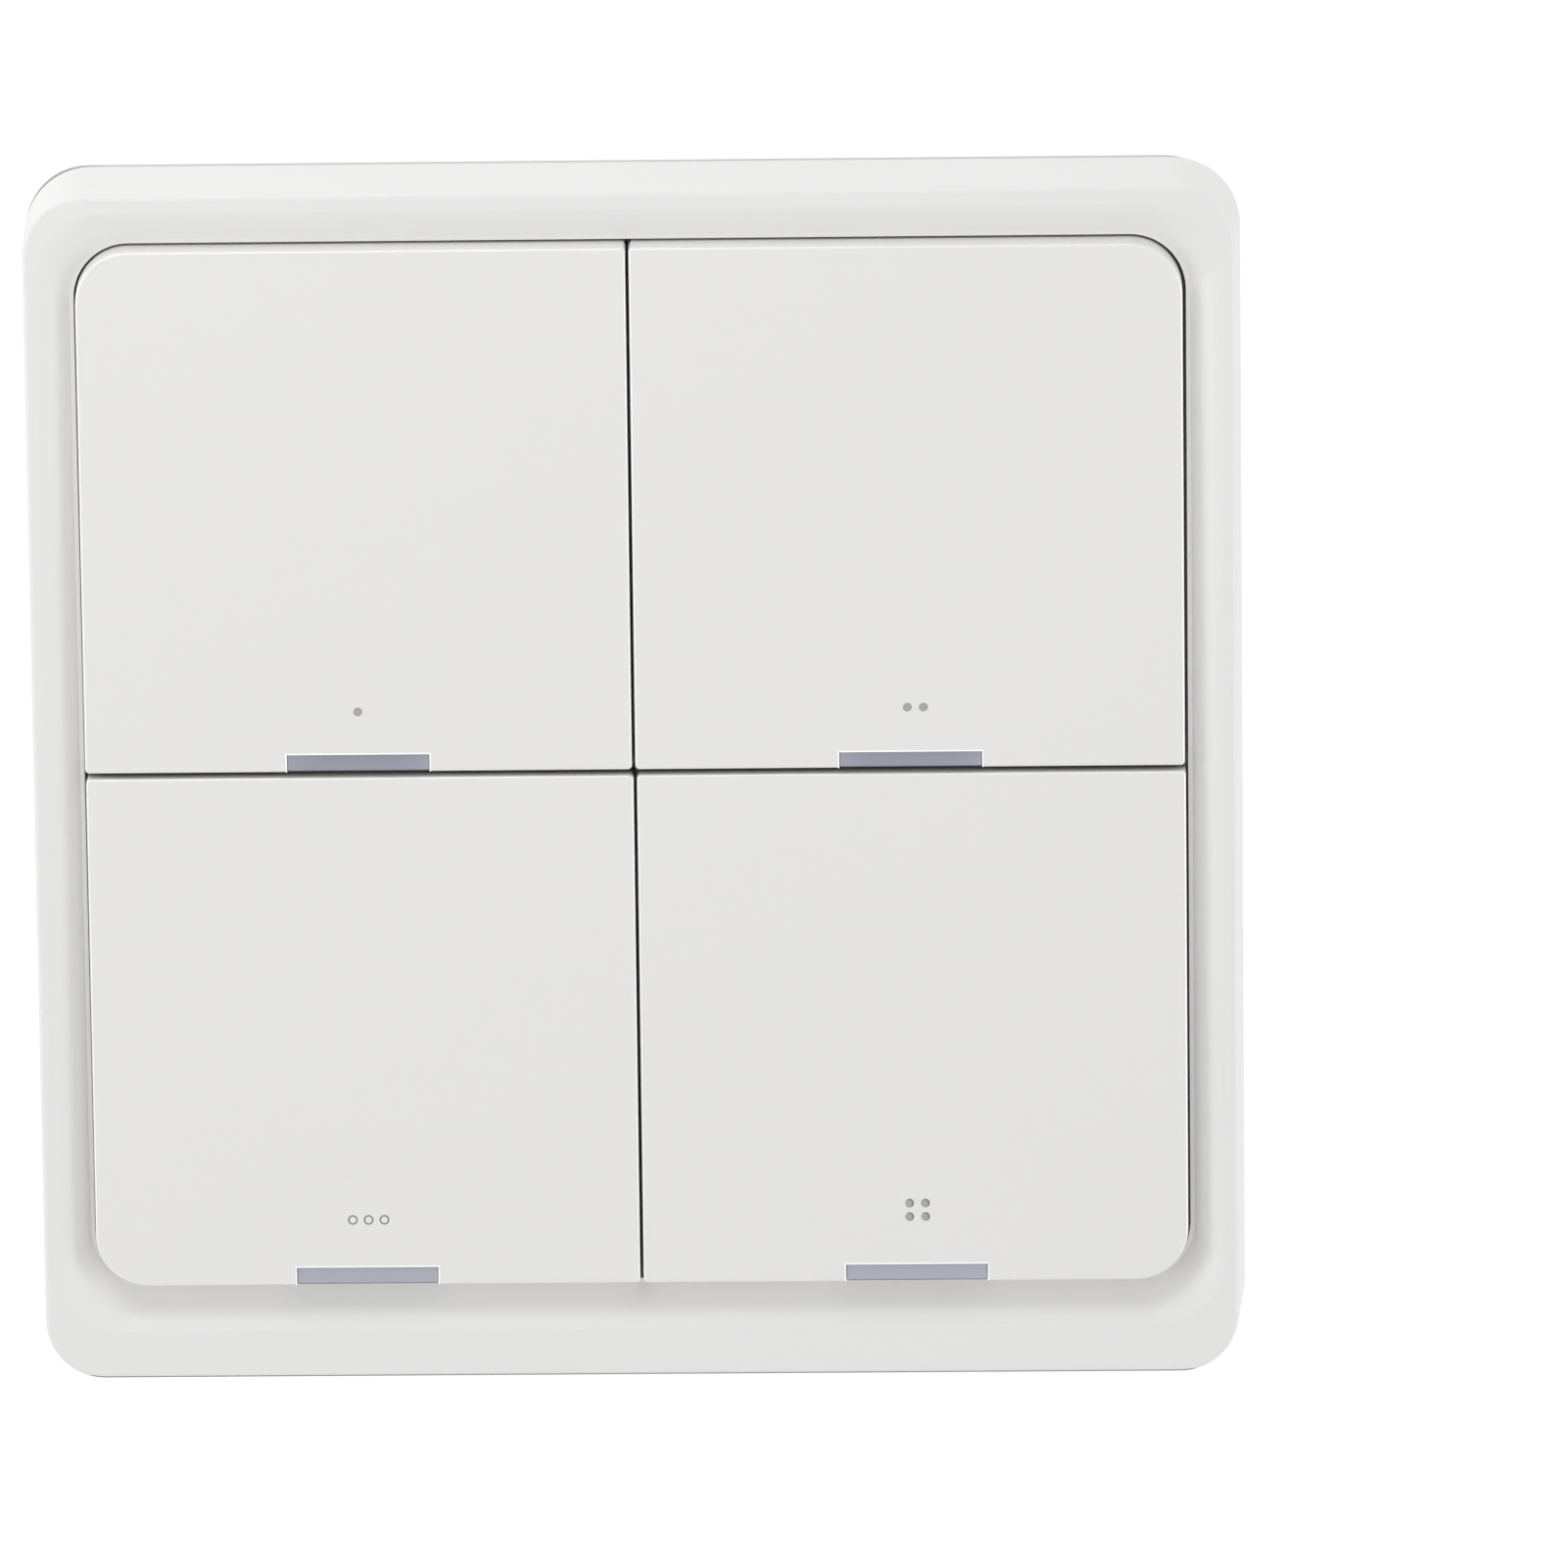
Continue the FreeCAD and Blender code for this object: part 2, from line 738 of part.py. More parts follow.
def rear_cover():
    low, high = cover_face, cover_front
    cover_half = cavity_half - ring_clearance - ring_wall - cover_clearance
    body = slab(square(cover_half), low, high, cover_corner)
    pads = [rod(place, spigot_radius + board_hole_clearance + cover_pad_wall, low, board_back)
            for place in screw_places()]
    body = joined([body] + pads)
    cuts = cover_windows()
    for place in screw_places():
        cuts.append(rod(place, spigot_radius + board_hole_clearance, high, board_back))
        cuts.append(rod(place, screw_radius, low, high))
        cuts.append(Part.makeCone(screw_head_radius, screw_radius, screw_head_height,
                                  Vector(place[0], place[1], low)))
    return body.cut(cuts).removeSplitter()


def rear_cover_screws():
    screws = []
    for place in screw_places():
        base = Vector(place[0], place[1], cover_face)
        head = Part.makeCone(screw_head_radius, screw_radius, screw_head_height, base)
        shank = rod(place, screw_radius, cover_face + screw_head_height, cover_face + screw_length)
        body = joined([head, shank])
        length = 2 * (screw_head_radius - drive_width)
        drive = [slab(around(place, length, drive_width), cover_face, cover_face + drive_depth),
                 slab(around(place, drive_width, length), cover_face, cover_face + drive_depth)]
        screws.append(body.cut(drive))
    return Part.makeCompound(screws)


# Wall plate with its locating ring, fixing slots and the seats of the two adhesive strips

def strip_box(side, clearance):
    return around((side * strip_spacing / 2, 0), strip_width + 2 * clearance,
                  strip_length + 2 * clearance)


def grip_ribs():
    """Narrow pads on the ring that hold the frame by friction."""
    inner = cavity_half - ring_clearance - ring_wall / 2
    outer = cavity_half - grip_clearance
    ribs = []
    for side in (-1, 1):
        for place in grip_places:
            along = (place - grip_length / 2, place + grip_length / 2)
            across = tuple(sorted((side * inner, side * outer)))
            ribs.append(slab(across + along, plate_edge, ring_top))
            ribs.append(slab(along + across, plate_edge, ring_top))
    return ribs


def wall_plate():
    corner = frame_corner - plate_inset
    body = slab(square(half - plate_inset), 0, plate_edge, corner)
    ring_outer = cavity_half - ring_clearance
    ring_corner = cavity_corner - ring_clearance
    ring = slab(square(ring_outer), plate_edge, ring_top, ring_corner)
    ring_inner = slab(square(ring_outer - ring_wall), plate_field, ring_top,
                      ring_corner - ring_wall)
    body = joined([body, ring.cut(ring_inner)] + grip_ribs())
    cuts = [slab(strip_box(side, strip_clearance), 0, strip_thick, strip_corner) for side in (-1, 1)]
    for x in (-screw_spacing / 2, screw_spacing / 2):
        cuts.append(slot((x, 0), slot_length, slot_radius, 0, plate_field))
        cuts.append(slot((x, 0), slot_length + 2 * slot_seat_margin,
                         slot_radius + slot_seat_margin, slot_seat_depth, plate_field))
    return body.cut(cuts).removeSplitter()


def adhesive_strip(side):
    return slab(strip_box(side, 0), 0, strip_thick, strip_corner)


os.makedirs("parts", exist_ok=True)
save("wall_plate", wall_plate())
save("adhesive_strip_left", adhesive_strip(-1))
save("adhesive_strip_right", adhesive_strip(1))
save("frame", frame())
save("chassis", chassis())
save("rear_cover", rear_cover())
save("rear_cover_screws", rear_cover_screws())
save("circuit_board", circuit_board())
save("indicator_leds", indicator_leds())
save("radio_board", radio_board())
save("radio_shield", radio_shield())
save("antenna", antenna())
save("controller_chip", controller_chip())
save("crystal", crystal())
save("capacitors", capacitors())
save("battery_holder", battery_holder())
save("coin_cell", coin_cell())
save("battery_contact_negative", battery_contact_negative())
save("battery_contact_positive", battery_contact_positive())
for key_number in (1, 2, 3, 4):
    save("key_cap_%d" % key_number, key_cap(key_number))
    save("light_window_%d" % key_number, light_window(key_number))
    save("switch_body_%d" % key_number, switch_body(key_number))
    save("switch_plunger_%d" % key_number, switch_plunger(key_number))
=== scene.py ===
import bpy
import bmesh
import math
from mathutils import Matrix, Vector


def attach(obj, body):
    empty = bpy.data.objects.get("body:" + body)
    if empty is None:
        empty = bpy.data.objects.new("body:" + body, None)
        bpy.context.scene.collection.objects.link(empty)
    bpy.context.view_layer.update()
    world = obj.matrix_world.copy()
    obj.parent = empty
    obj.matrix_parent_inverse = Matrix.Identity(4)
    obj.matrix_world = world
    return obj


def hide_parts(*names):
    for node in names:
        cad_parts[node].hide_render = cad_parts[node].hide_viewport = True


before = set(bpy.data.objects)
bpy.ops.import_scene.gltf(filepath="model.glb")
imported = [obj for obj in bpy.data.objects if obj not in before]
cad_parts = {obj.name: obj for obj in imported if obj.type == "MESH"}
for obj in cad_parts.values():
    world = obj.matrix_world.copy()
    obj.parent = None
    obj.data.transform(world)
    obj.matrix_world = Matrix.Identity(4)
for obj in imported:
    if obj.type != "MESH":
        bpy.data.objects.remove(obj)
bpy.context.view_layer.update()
MM = 0.001
scene = bpy.context.scene
scene.view_settings.view_transform = "Standard"


# Camera: a long lens a little above and to the right of the switch, held slightly out of level.
# The photograph shows the switch left of the middle, so the lens is shifted.

camera_distance = 0.876
camera_above = math.radians(10.55)
camera_right = math.radians(1.76)
camera_tilt = math.radians(0.78)

camera_data = bpy.data.cameras.new("camera")
camera_data.sensor_width = 36.0
camera_data.lens = 281.7
camera_data.shift_x = 0.0923
camera_data.shift_y = -0.0176
camera_data.clip_start = 0.05
camera = bpy.data.objects.new("camera", camera_data)
scene.collection.objects.link(camera)
camera_place = camera_distance * Vector((math.sin(camera_right) * math.cos(camera_above),
                                         -math.cos(camera_right) * math.cos(camera_above),
                                         math.sin(camera_above)))
camera_turn = (-camera_place).to_track_quat("-Z", "Y").to_matrix().to_4x4()
camera.matrix_world = (Matrix.Translation(camera_place) @ camera_turn
                       @ Matrix.Rotation(-camera_tilt, 4, "Z"))
scene.camera = camera


# Studio: a pale floor below the switch, an even pale surround, and five soft lamps: one on each
# side that grazes the face, a near one on the upper left, one in front, and one above and behind.
# What looks past the switch sees plain white.

def sign(operation):
    """A sign between two values, such as +, as a node."""
    return lambda first, second: first.maths(operation, first, second)


class Wire:
    """A number, colour or shape on its way through a tree of nodes."""

    __add__ = sign("ADD")
    __sub__ = sign("SUBTRACT")
    __mul__ = sign("MULTIPLY")
    __truediv__ = sign("DIVIDE")
    __pow__ = sign("POWER")
    __gt__ = sign("GREATER_THAN")
    __lt__ = sign("LESS_THAN")

    def __init__(self, nodes, socket):
        self.nodes = nodes
        self.socket = socket

    def maths(self, operation, first, second=None):
        sockets = {0: first} if second is None else {0: first, 1: second}
        return self.nodes.node("ShaderNodeMath", sockets, operation=operation)

    def __rsub__(self, other):
        return self.maths("SUBTRACT", other, self)

    def __abs__(self):
        return self.maths("ABSOLUTE", self)

    def clamped(self):
        return self.nodes.node("ShaderNodeClamp", {"Value": self})


class Nodes:
    """A tree of nodes while it is being joined up."""

    def __init__(self, tree):
        self.tree = tree

    def node(self, kind, sockets, output=0, **settings):
        node = self.tree.nodes.new(kind)
        for name, value in settings.items():
            setattr(node, name, value)
        for name, value in sockets.items():
            if isinstance(value, Wire):
                self.tree.links.new(value.socket, node.inputs[name])
            else:
                node.inputs[name].default_value = value
        return Wire(self, node.outputs[output]) if node.outputs else None

    def parts(self, vector, axes):
        """Components of a vector."""
        return [self.node("ShaderNodeSeparateXYZ", {"Vector": vector}, axis) for axis in axes]


class Finish(Nodes):
    """A material."""

    def __init__(self, name):
        self.material = bpy.data.materials.new(name)
        self.material.use_nodes = True
        super().__init__(self.material.node_tree)
        self.tree.nodes.clear()

    def place(self, scale=(1, 1, 1)):
        """Object coordinates in metres, stretched."""
        here = self.node("ShaderNodeTexCoord", {}, "Object")
        return self.node("ShaderNodeMapping", {"Vector": here, "Scale": scale})

    def axes(self, names="XYZ"):
        """Object coordinates in mm."""
        return [part / MM for part in self.parts(self.place(), names)]

    def noise(self, size, detail=2.0, place=None):
        """Noise whose features are about this size in metres, from 0 to 1."""
        return self.node("ShaderNodeTexNoise", {"Vector": place or self.place(),
                                                "Scale": 1.0 / size, "Detail": detail}, "Fac")

    def step(self, value, low, high):
        """0 below low, 1 above high, and a ramp between them."""
        return self.node("ShaderNodeMapRange",
                         {"Value": value, "From Min": low, "From Max": high}, "Result", clamp=True)

    def blend(self, share, first, second):
        """Colour that goes from first to second."""
        return self.node("ShaderNodeMix", {"Factor": share, 6: first, 7: second}, 2,
                         data_type="RGBA")

    def bump(self, height, depth):
        """Bump of a height from 0 to 1, this deep in metres."""
        return self.node("ShaderNodeBump", {"Height": height, "Distance": depth}, "Normal")

    def surface(self, **sockets):
        """Principled surface; underscores in the names stand for spaces."""
        named = {name.replace("_", " "): value for name, value in sockets.items()}
        self.shown(self.node("ShaderNodeBsdfPrincipled", named, "BSDF"))
        return self.material

    def shown(self, shader):
        self.node("ShaderNodeOutputMaterial", {"Surface": shader})


def seen_directly(nodes):
    """1 for what the camera sees, straight or in a reflection, and 0 for light on the object."""
    path = nodes.tree.nodes.new("ShaderNodeLightPath")
    rays = [Wire(nodes, path.outputs[name]) for name in
            ("Is Camera Ray", "Is Glossy Ray", "Is Transmission Ray")]
    return (rays[0] + rays[1] + rays[2]).clamped()


floor_below = 0.5
floor_half = 4.0
floor_share = 0.9               # of plain white in what the camera sees of the floor
surround_light = 0.55

world = bpy.data.worlds.new("surround")
world.use_nodes = True
world.node_tree.nodes.clear()
scene.world = world
surround = Nodes(world.node_tree)
surround_strength = seen_directly(surround) * (1.0 - surround_light) + surround_light
background = surround.node("ShaderNodeBackground",
                           {"Color": (1, 1, 1, 1), "Strength": surround_strength})
surround.node("ShaderNodeOutputWorld", {"Surface": background})

floor_finish = Finish("floor_white")
floor_paint = floor_finish.node("ShaderNodeBsdfDiffuse", {"Color": (0.92, 0.92, 0.92, 1)})
floor_white = floor_finish.node("ShaderNodeEmission", {"Color": (1, 1, 1, 1), "Strength": 1.12})
floor_finish.shown(floor_finish.node(
    "ShaderNodeMixShader",
    {0: seen_directly(floor_finish) * floor_share, 1: floor_paint, 2: floor_white}))

floor_mesh = bpy.data.meshes.new("floor")
floor_mesh.from_pydata([(x * floor_half, y * floor_half, -floor_below)
                        for x, y in ((-1, -1), (1, -1), (1, 1), (-1, 1))], [], [(0, 1, 2, 3)])
floor_mesh.materials.append(floor_finish.material)
floor = bpy.data.objects.new("floor", floor_mesh)
scene.collection.objects.link(floor)


def soft_lamp(name, place, side, power):
    """Square lamp that faces the switch."""
    data = bpy.data.lights.new(name, "AREA")
    data.size = side
    data.energy = power
    lamp = bpy.data.objects.new(name, data)
    place = Vector(place)
    lamp.matrix_world = (Matrix.Translation(place)
                         @ (-place).to_track_quat("-Z", "Y").to_matrix().to_4x4())
    scene.collection.objects.link(lamp)


soft_lamp("lamp_left", (-0.8, -0.2, 0.06), 0.5, 1.68)
soft_lamp("lamp_right", (0.8, -0.2, -0.06), 0.5, 1.73)
soft_lamp("lamp_near", (-0.1, -0.1, 0.28), 0.2, 0.186)
soft_lamp("lamp_front", (0.0, -1.0, 0.0), 0.5, 0.98)
soft_lamp("lamp_behind", (0.0, 0.45, 0.7), 0.4, 0.75)


# Frame: one injection moulding in white ABS with a fine spark-eroded skin. Its sides lean in
# towards a sharp crest, then a narrow flat rim, then a dish whose wall falls to the keys and is
# deepest above the wide lower rim. A thin line of painted shadow runs along the lower outer edge,
# and the tone is lighter at the upper left and darker at the lower right as painted light.

wall_half = 43.0
crest_half = 42.35
frame_back = 1.3
frame_front = 12.5
frame_corner = 4.8
crest_round = 0.35
frame_wall = 2.2
side_rows = (4.0, 7.0, 10.0)      # depths of the rows of points up the outer side
back_round, cavity_round = 0.15, 0.3
chassis_front = 8.0
dish_depth_top, dish_depth_chin = 1.1, 2.6
dish_bias = (1.65, 1.65, 1.1, 1.2)    # above 1, that side of the dish is steepest near the keys
trough_width = 0.3
rim_side, rim_top, rim_chin = 0.8, 1.1, 3.3
rim_corner = 5.1
frame_opening = (-38.88, 39.0, -35.9, 38.94)
opening_corner = 3.9
key_corner = 3.7
key_group = (-38.74, 38.74, -35.68, 38.52)
corner_steps = 14
round_steps = 6
dish_steps = 28
side_slope = (wall_half - crest_half) / (frame_front - frame_back)
edge_shadow_depths = (12.18, 12.43)     # from and to, in front of the wall
edge_shadow_below = -42.15
pry_box, pry_depth = (-4.5, 4.5, -44.0, -40.5), 1.4


def grown(box, by):
    """A box (left, right, bottom, top) with each side moved outwards."""
    return (box[0] - by, box[1] + by, box[2] - by, box[3] + by)


def square(half):
    return (-half, half, -half, half)


def loop(box, depth, *radii):
    """Points of a rectangle with round corners, at a depth in front of the wall, in mm."""
    radii = radii * 4 if len(radii) == 1 else radii
    left, right, bottom, top = box
    corners = ((left, bottom, 1, 1), (right, bottom, -1, 1),
               (right, top, -1, -1), (left, top, 1, -1))
    points = []
    for turn, ((x, z, sx, sz), radius) in enumerate(zip(corners, radii)):
        for step in range(corner_steps + 1):
            angle = math.radians(180 + 90 * turn + 90 * step / corner_steps)
            points.append(Vector((x + sx * radius + radius * math.cos(angle), -depth,
                                  z + sz * radius + radius * math.sin(angle))) * MM)
    return points


def rounding(start, end, bulge_first, steps=round_steps):
    """Quarter of an ellipse from start to end, each (inset, depth)."""
    points = []
    for step in range(steps + 1):
        angle = math.pi / 2 * step / steps
        share_a, share_b = math.sin(angle), 1 - math.cos(angle)
        shares = (share_b, share_a) if bulge_first else (share_a, share_b)
        points.append((start[0] + (end[0] - start[0]) * shares[0],
                       start[1] + (end[1] - start[1]) * shares[1]))
    return points


def skinned(name, loops, ring):
    """Mesh object whose skin runs over the loops; as a ring, or capped at both ends."""
    body = bmesh.new()
    rows = [[body.verts.new(point) for point in points] for points in loops]
    pairs = list(zip(rows, rows[1:])) + ([(rows[-1], rows[0])] if ring else [])
    for low, high in pairs:
        for number in range(len(low)):
            after = (number + 1) % len(low)
            body.faces.new((low[number], low[after], high[after], high[number]))
    if not ring:
        body.faces.new(rows[0])
        body.faces.new(rows[-1])
    bmesh.ops.recalc_face_normals(body, faces=body.faces)
    return made(name, body)


def stacked(name, box, rows, *corners):
    """Closed body of rounded rectangles; each row is (inset, depth)."""
    return skinned(name, [loop(grown(box, -inset), depth, *[corner - inset for corner in corners])
                          for inset, depth in rows], False)


def back_edge(back, radius, steps=3):
    """Rows that round the back edge of a body."""
    return rounding((radius, back), (0.0, back + radius), False, steps)


def front_edge(front, radius, steps=4):
    """Rows that round the front edge of a body."""
    return rounding((0.0, front - radius), (radius, front), True, steps)


def made(name, body):
    """Object from a finished bmesh."""
    mesh = bpy.data.meshes.new(name)
    body.to_mesh(mesh)
    body.free()
    piece = bpy.data.objects.new(name, mesh)
    scene.collection.objects.link(piece)
    return piece


def block(name, box, back, front):
    """Plain block between two depths, in mm."""
    left, right, bottom, top = box
    corners = ((left, bottom), (right, bottom), (right, top), (left, top))
    return skinned(name, [[Vector((x, -depth, z)) * MM for x, z in corners]
                          for depth in (back, front)], False)


def baked(piece):
    """Takes the result of the piece's modifiers as its mesh, and drops them."""
    bpy.context.view_layer.update()
    view = bpy.context.evaluated_depsgraph_get()
    result = bpy.data.meshes.new_from_object(piece.evaluated_get(view))
    piece.modifiers.clear()
    piece.data = result
    return piece


def combine(piece, tools, operation):
    """Adds or cuts the tools, which are used up, and leaves the piece a plain mesh."""
    for tool in tools:
        step = piece.modifiers.new("combine", "BOOLEAN")
        step.operation = operation
        step.solver = "EXACT"
        step.object = tool
    baked(piece)
    for tool in tools:
        bpy.data.objects.remove(tool)
    return piece


def dressed(piece, material, body, slot, *nodes):
    """Smooths the shading, gives the piece its material and fixes it to its body."""
    piece.data.materials.clear()
    piece.data.materials.append(material)
    piece.data.shade_smooth()
    piece.data.set_sharp_from_angle(angle=math.radians(32))
    even = piece.modifiers.new("even_shading", "WEIGHTED_NORMAL")
    even.keep_sharp = True
    even.weight = 90
    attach(piece, body)
    if nodes:
        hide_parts(*nodes)


def moulded(name, colour, roughness, grain, unevenness=0.01, marks=0.0, across=0.0, shade=None,
            gloss=None):
    """Moulded plastic: fine grain, slight drift of tone and, where asked, short faint scuffs.

    across is the share of the drift given to painted light, lighter at the upper left and darker
    at the lower right; shade and gloss are functions that give the share of painted shade and of
    painted sheen."""
    finish = Finish(name)

    def toned(share):
        return (*[min(1.0, c * share) for c in colour], 1)

    drift = finish.noise(0.018, 3.0)
    if across:
        # Painted light: across slants the tone, lighter at the upper left and darker at the lower
        # right.
        x, z = finish.axes("XZ")
        painted_light_slant = (z - x) / (4 * wall_half) + 0.5
        drift = drift * (1 - across) + painted_light_slant * across
    tone = finish.blend(drift, toned(1 - unevenness), toned(1 + unevenness))
    if marks:
        tone = finish.blend(scuffs(finish) * marks, tone, toned(0.5))
    # Painted shade where shade is given, and a painted sheen where gloss is given.
    if shade:
        tone = finish.blend(shade(finish), tone, toned(0.25))
    fine = finish.noise(grain)
    rough = fine * 0.08 + drift * 0.06 + (roughness - 0.07)
    return finish.surface(Base_Color=tone, Roughness=rough, Normal=finish.bump(fine, 0.000006),
                          Metallic=gloss(finish) if gloss else 0.0, IOR=1.5)


def scuffs(finish):
    """Short thin rub marks, a few to a side: bent streaks that only rare patches let through."""
    bend = finish.noise(0.004, 1.0)
    shift = finish.node("ShaderNodeCombineXYZ", {"X": bend * 0.002, "Z": bend * 0.003})
    place = finish.node("ShaderNodeVectorMath", {0: finish.place(), 1: shift}, operation="ADD")
    turned = finish.node("ShaderNodeMapping",
                         {"Vector": place, "Rotation": (0, 0.5, 0), "Scale": (1.0, 1.0, 0.3)})
    cell = {"Vector": turned, "Scale": 130.0, "Randomness": 1.0}
    streak = finish.step(finish.node("ShaderNodeTexVoronoi", cell, "Distance"), 0.05, 0.02)
    colour = finish.node("ShaderNodeTexVoronoi", cell, "Color")
    chosen = finish.node("ShaderNodeSeparateColor", {"Color": colour}, "Red") > 0.9
    return streak * chosen


def side_half(depth):
    """Half width of the leaning outer side at a depth."""
    return wall_half - side_slope * (depth - frame_back)


def sunk(points, fall):
    """Lets a loop down into the dish by a share of its depth, which grows towards the lower rim."""
    top, bottom = frame_opening[3], frame_opening[2]
    for point in points:
        lower = (top - point.z / MM) / (top - bottom)
        depth = dish_depth_top + (dish_depth_chin - dish_depth_top) * lower
        point.y = -(frame_front - depth * fall) * MM
    return points


def frame_loops():
    upright = wall_half - frame_corner           # centre lines of the outer corners
    outside = [(side_half(depth) - inset, depth)
               for inset, depth in back_edge(frame_back, back_round)]
    outside += [(side_half(depth), depth) for depth in side_rows]
    lean = math.atan(side_slope)
    centre_depth = frame_front - crest_round
    centre_half = side_half(centre_depth) - crest_round / math.cos(lean)
    for step in range(round_steps + 3):
        angle = lean + (math.pi / 2 - lean) * step / (round_steps + 2)
        outside.append((centre_half + crest_round * math.cos(angle),
                        centre_depth + crest_round * math.sin(angle)))
    loops = [loop(square(half), depth, half - upright) for half, depth in outside]
    rim = (rim_side - crest_half, crest_half - rim_side,
           rim_chin - crest_half, crest_half - rim_top)
    floor_box = grown(frame_opening, trough_width)
    floor_corner = opening_corner + trough_width
    for step in range(dish_steps + 1):
        share = step / dish_steps
        box = tuple(a + (b - a) * (1 - (1 - share) ** bias)
                    for a, b, bias in zip(rim, floor_box, dish_bias))
        fall = (share + (1 - math.cos(math.pi * share)) / 2) / 2
        loops.append(sunk(loop(box, frame_front, rim_corner + (floor_corner - rim_corner) * share),
                          fall))
    loops.append(sunk(loop(frame_opening, frame_front, opening_corner), 1.0))
    loops.append(loop(frame_opening, chassis_front, opening_corner))
    cavity = wall_half - frame_wall
    cavity_corner = frame_corner - frame_wall
    loops.append(loop(square(cavity), chassis_front, cavity_corner))
    mouth = rounding((0.0, frame_back + cavity_round), (cavity_round, frame_back), True, 3)
    for inset, depth in mouth:
        loops.append(loop(square(cavity + inset), depth, cavity_corner + inset))
    return loops


def painted_edge_shadow(finish):
    """Share of painted shadow: a thin line along the lower outer edge."""
    y, z = finish.axes("YZ")
    low, high = edge_shadow_depths
    return (z < edge_shadow_below) * (y < -low) * (y > -high) * 0.95


# Frame tone: painted light slants it, and painted shadow lines the lower outer edge.
frame_white = moulded("frame_white", (0.926, 0.92, 0.915), 0.45, 0.00012, 0.024, 0.6, 0.8,
                      painted_edge_shadow)
frame_piece = skinned("frame_moulding", frame_loops(), True)
pry_notch = block("pry_notch", pry_box, frame_back - 1.0, frame_back + pry_depth)
combine(frame_piece, [pry_notch], "DIFFERENCE")
dressed(frame_piece, frame_white, "unit", "frame_white", "frame")


# Key caps: four large white ABS rockers, each a thin shell with a skirt, stiffening ribs and a
# pair of hinge pins. The upper side leans out towards the wall, so that the cap can turn. The edges
# carry a painted sheen, and the sides carry painted shade deep in the cross gap. Their tone is
# lighter at the upper left and darker at the lower right as painted light.

key_face = 12.4
key_under = 10.8
key_skirt_end = 8.6
key_skirt_wall = 1.4
key_cross_corner = 0.3
key_top_lean = 0.1
key_flare = 0.23               # of the upper side of the upper keys, below their face
key_flare_end = 11.4
key_edge_round = 0.2
gap_beside, gap_above = 0.22, 0.3
fade_beside, fade_above = (0.3, 1.4), (0.5, 2.4)    # lit and dark, behind the face
cross_height = 1.21
sheen_share = 0.35                  # mirror share that paints a sheen on an edge
# How far the left and the right side of each key lie aside, as in the photograph.
key_slips = {1: (0.03, -0.03), 2: (-0.03, 0.01), 3: (0.07, 0.07), 4: (0.07, 0.07)}
rib_depth, rib_half, rib_side = 1.1, 0.5, 7.0
rib_drops = (6.0, 17.5, 26.0)  # below the hinge
overlap = 0.1                  # of pieces that are joined
backing_side, backing_above = 1.0, 1.5
hinge_depth = 9.4
hinge_heights = {1: 35.32, 2: 35.32, 3: -2.05, 4: -2.05}
ear_side, ear_width, ear_half = 12.5, 1.6, 1.5
pin_radius, pin_root, pin_reach = 0.8, 0.4, 2.2
actuator_lever = 20.0
post_radius, post_end = 1.5, 9.72
post_tip_radius, post_tip_end = 0.4, 9.22
window_length = 10.05
window_heights = {1: 1.23, 2: 1.13, 3: 1.27, 4: 1.24}
window_shifts = {1: 0.0, 2: 0.06, 3: -0.04, 4: 0.08}    # from the middle of the key
lip_width, lip_rise = 0.09, 0.01
dot_radius, ring_radius = 0.315, 0.345
dot_line = 0.1
dot_shifts = {1: 0.02, 2: 0.41, 3: 0.09, 4: 0.16}
dot_heights = {1: 4.29, 2: 4.31, 3: 4.71, 4: 4.68}
dot_pitch, dot_row_pitch = 1.12, 0.98
dot_sink = 0.06
ring_key = 3                   # the key whose marks are rings
dot_places = {1: [(0, 0)], 2: [(-0.5, 0), (0.5, 0)], 3: [(-1, 0), (0, 0), (1, 0)],
              4: [(-0.5, 0), (0.5, 0), (-0.5, 1), (0.5, 1)]}
keys = (1, 2, 3, 4)            # upper left, upper right, lower left, lower right


def key_box(number):
    left, right, bottom, top = key_group
    across = (left, -gap_beside / 2) if number in (1, 3) else (gap_beside / 2, right)
    half = gap_above / 2
    upright = (cross_height + half, top) if number < 3 else (bottom, cross_height - half)
    return tuple(x + slip for x, slip in zip(across, key_slips[number])) + upright


def key_radii(number, inset=0.0):
    radii = [max(key_cross_corner - inset, 0.2)] * 4
    radii[{1: 3, 2: 2, 3: 0, 4: 1}[number]] = key_corner - inset
    return radii


def key_outlines(number):
    """Outlines of a key at its skirt and at its face."""
    left, right, bottom, top = key_box(number)
    flare = key_flare if number < 3 else 0.0
    return (left, right, bottom, top + flare), (left, right, bottom, top - key_top_lean)


def window_box(number):
    left, right, bottom, _ = key_box(number)
    middle = (left + right) / 2 + window_shifts[number]
    return (middle - window_length / 2, middle + window_length / 2, bottom,
            bottom + window_heights[number])


def dot_centres(number):
    left, right, bottom, _ = key_box(number)
    middle = (left + right) / 2 + dot_shifts[number]
    return [(middle + column * dot_pitch, bottom + dot_heights[number] + row * dot_row_pitch)
            for column, row in dot_places[number]]


def mark_radius(number):
    return ring_radius if number == ring_key else dot_radius


def circle(steps):
    """Cosine and sine of each step round a circle."""
    return [(math.cos(2 * math.pi * step / steps), math.sin(2 * math.pi * step / steps))
            for step in range(steps)]


def round_bar(name, start, end, radius, tip_radius=None, steps=24):
    """Round bar between two points in mm, with an optional smaller end."""
    axis = (Vector(end) - Vector(start)).normalized()
    side = axis.orthogonal().normalized()
    up = axis.cross(side)
    rows = [[(Vector(centre) + size * (side * across + up * along)) * MM
             for across, along in circle(steps)]
            for centre, size in ((start, radius), (end, tip_radius or radius))]
    return skinned(name, rows, False)


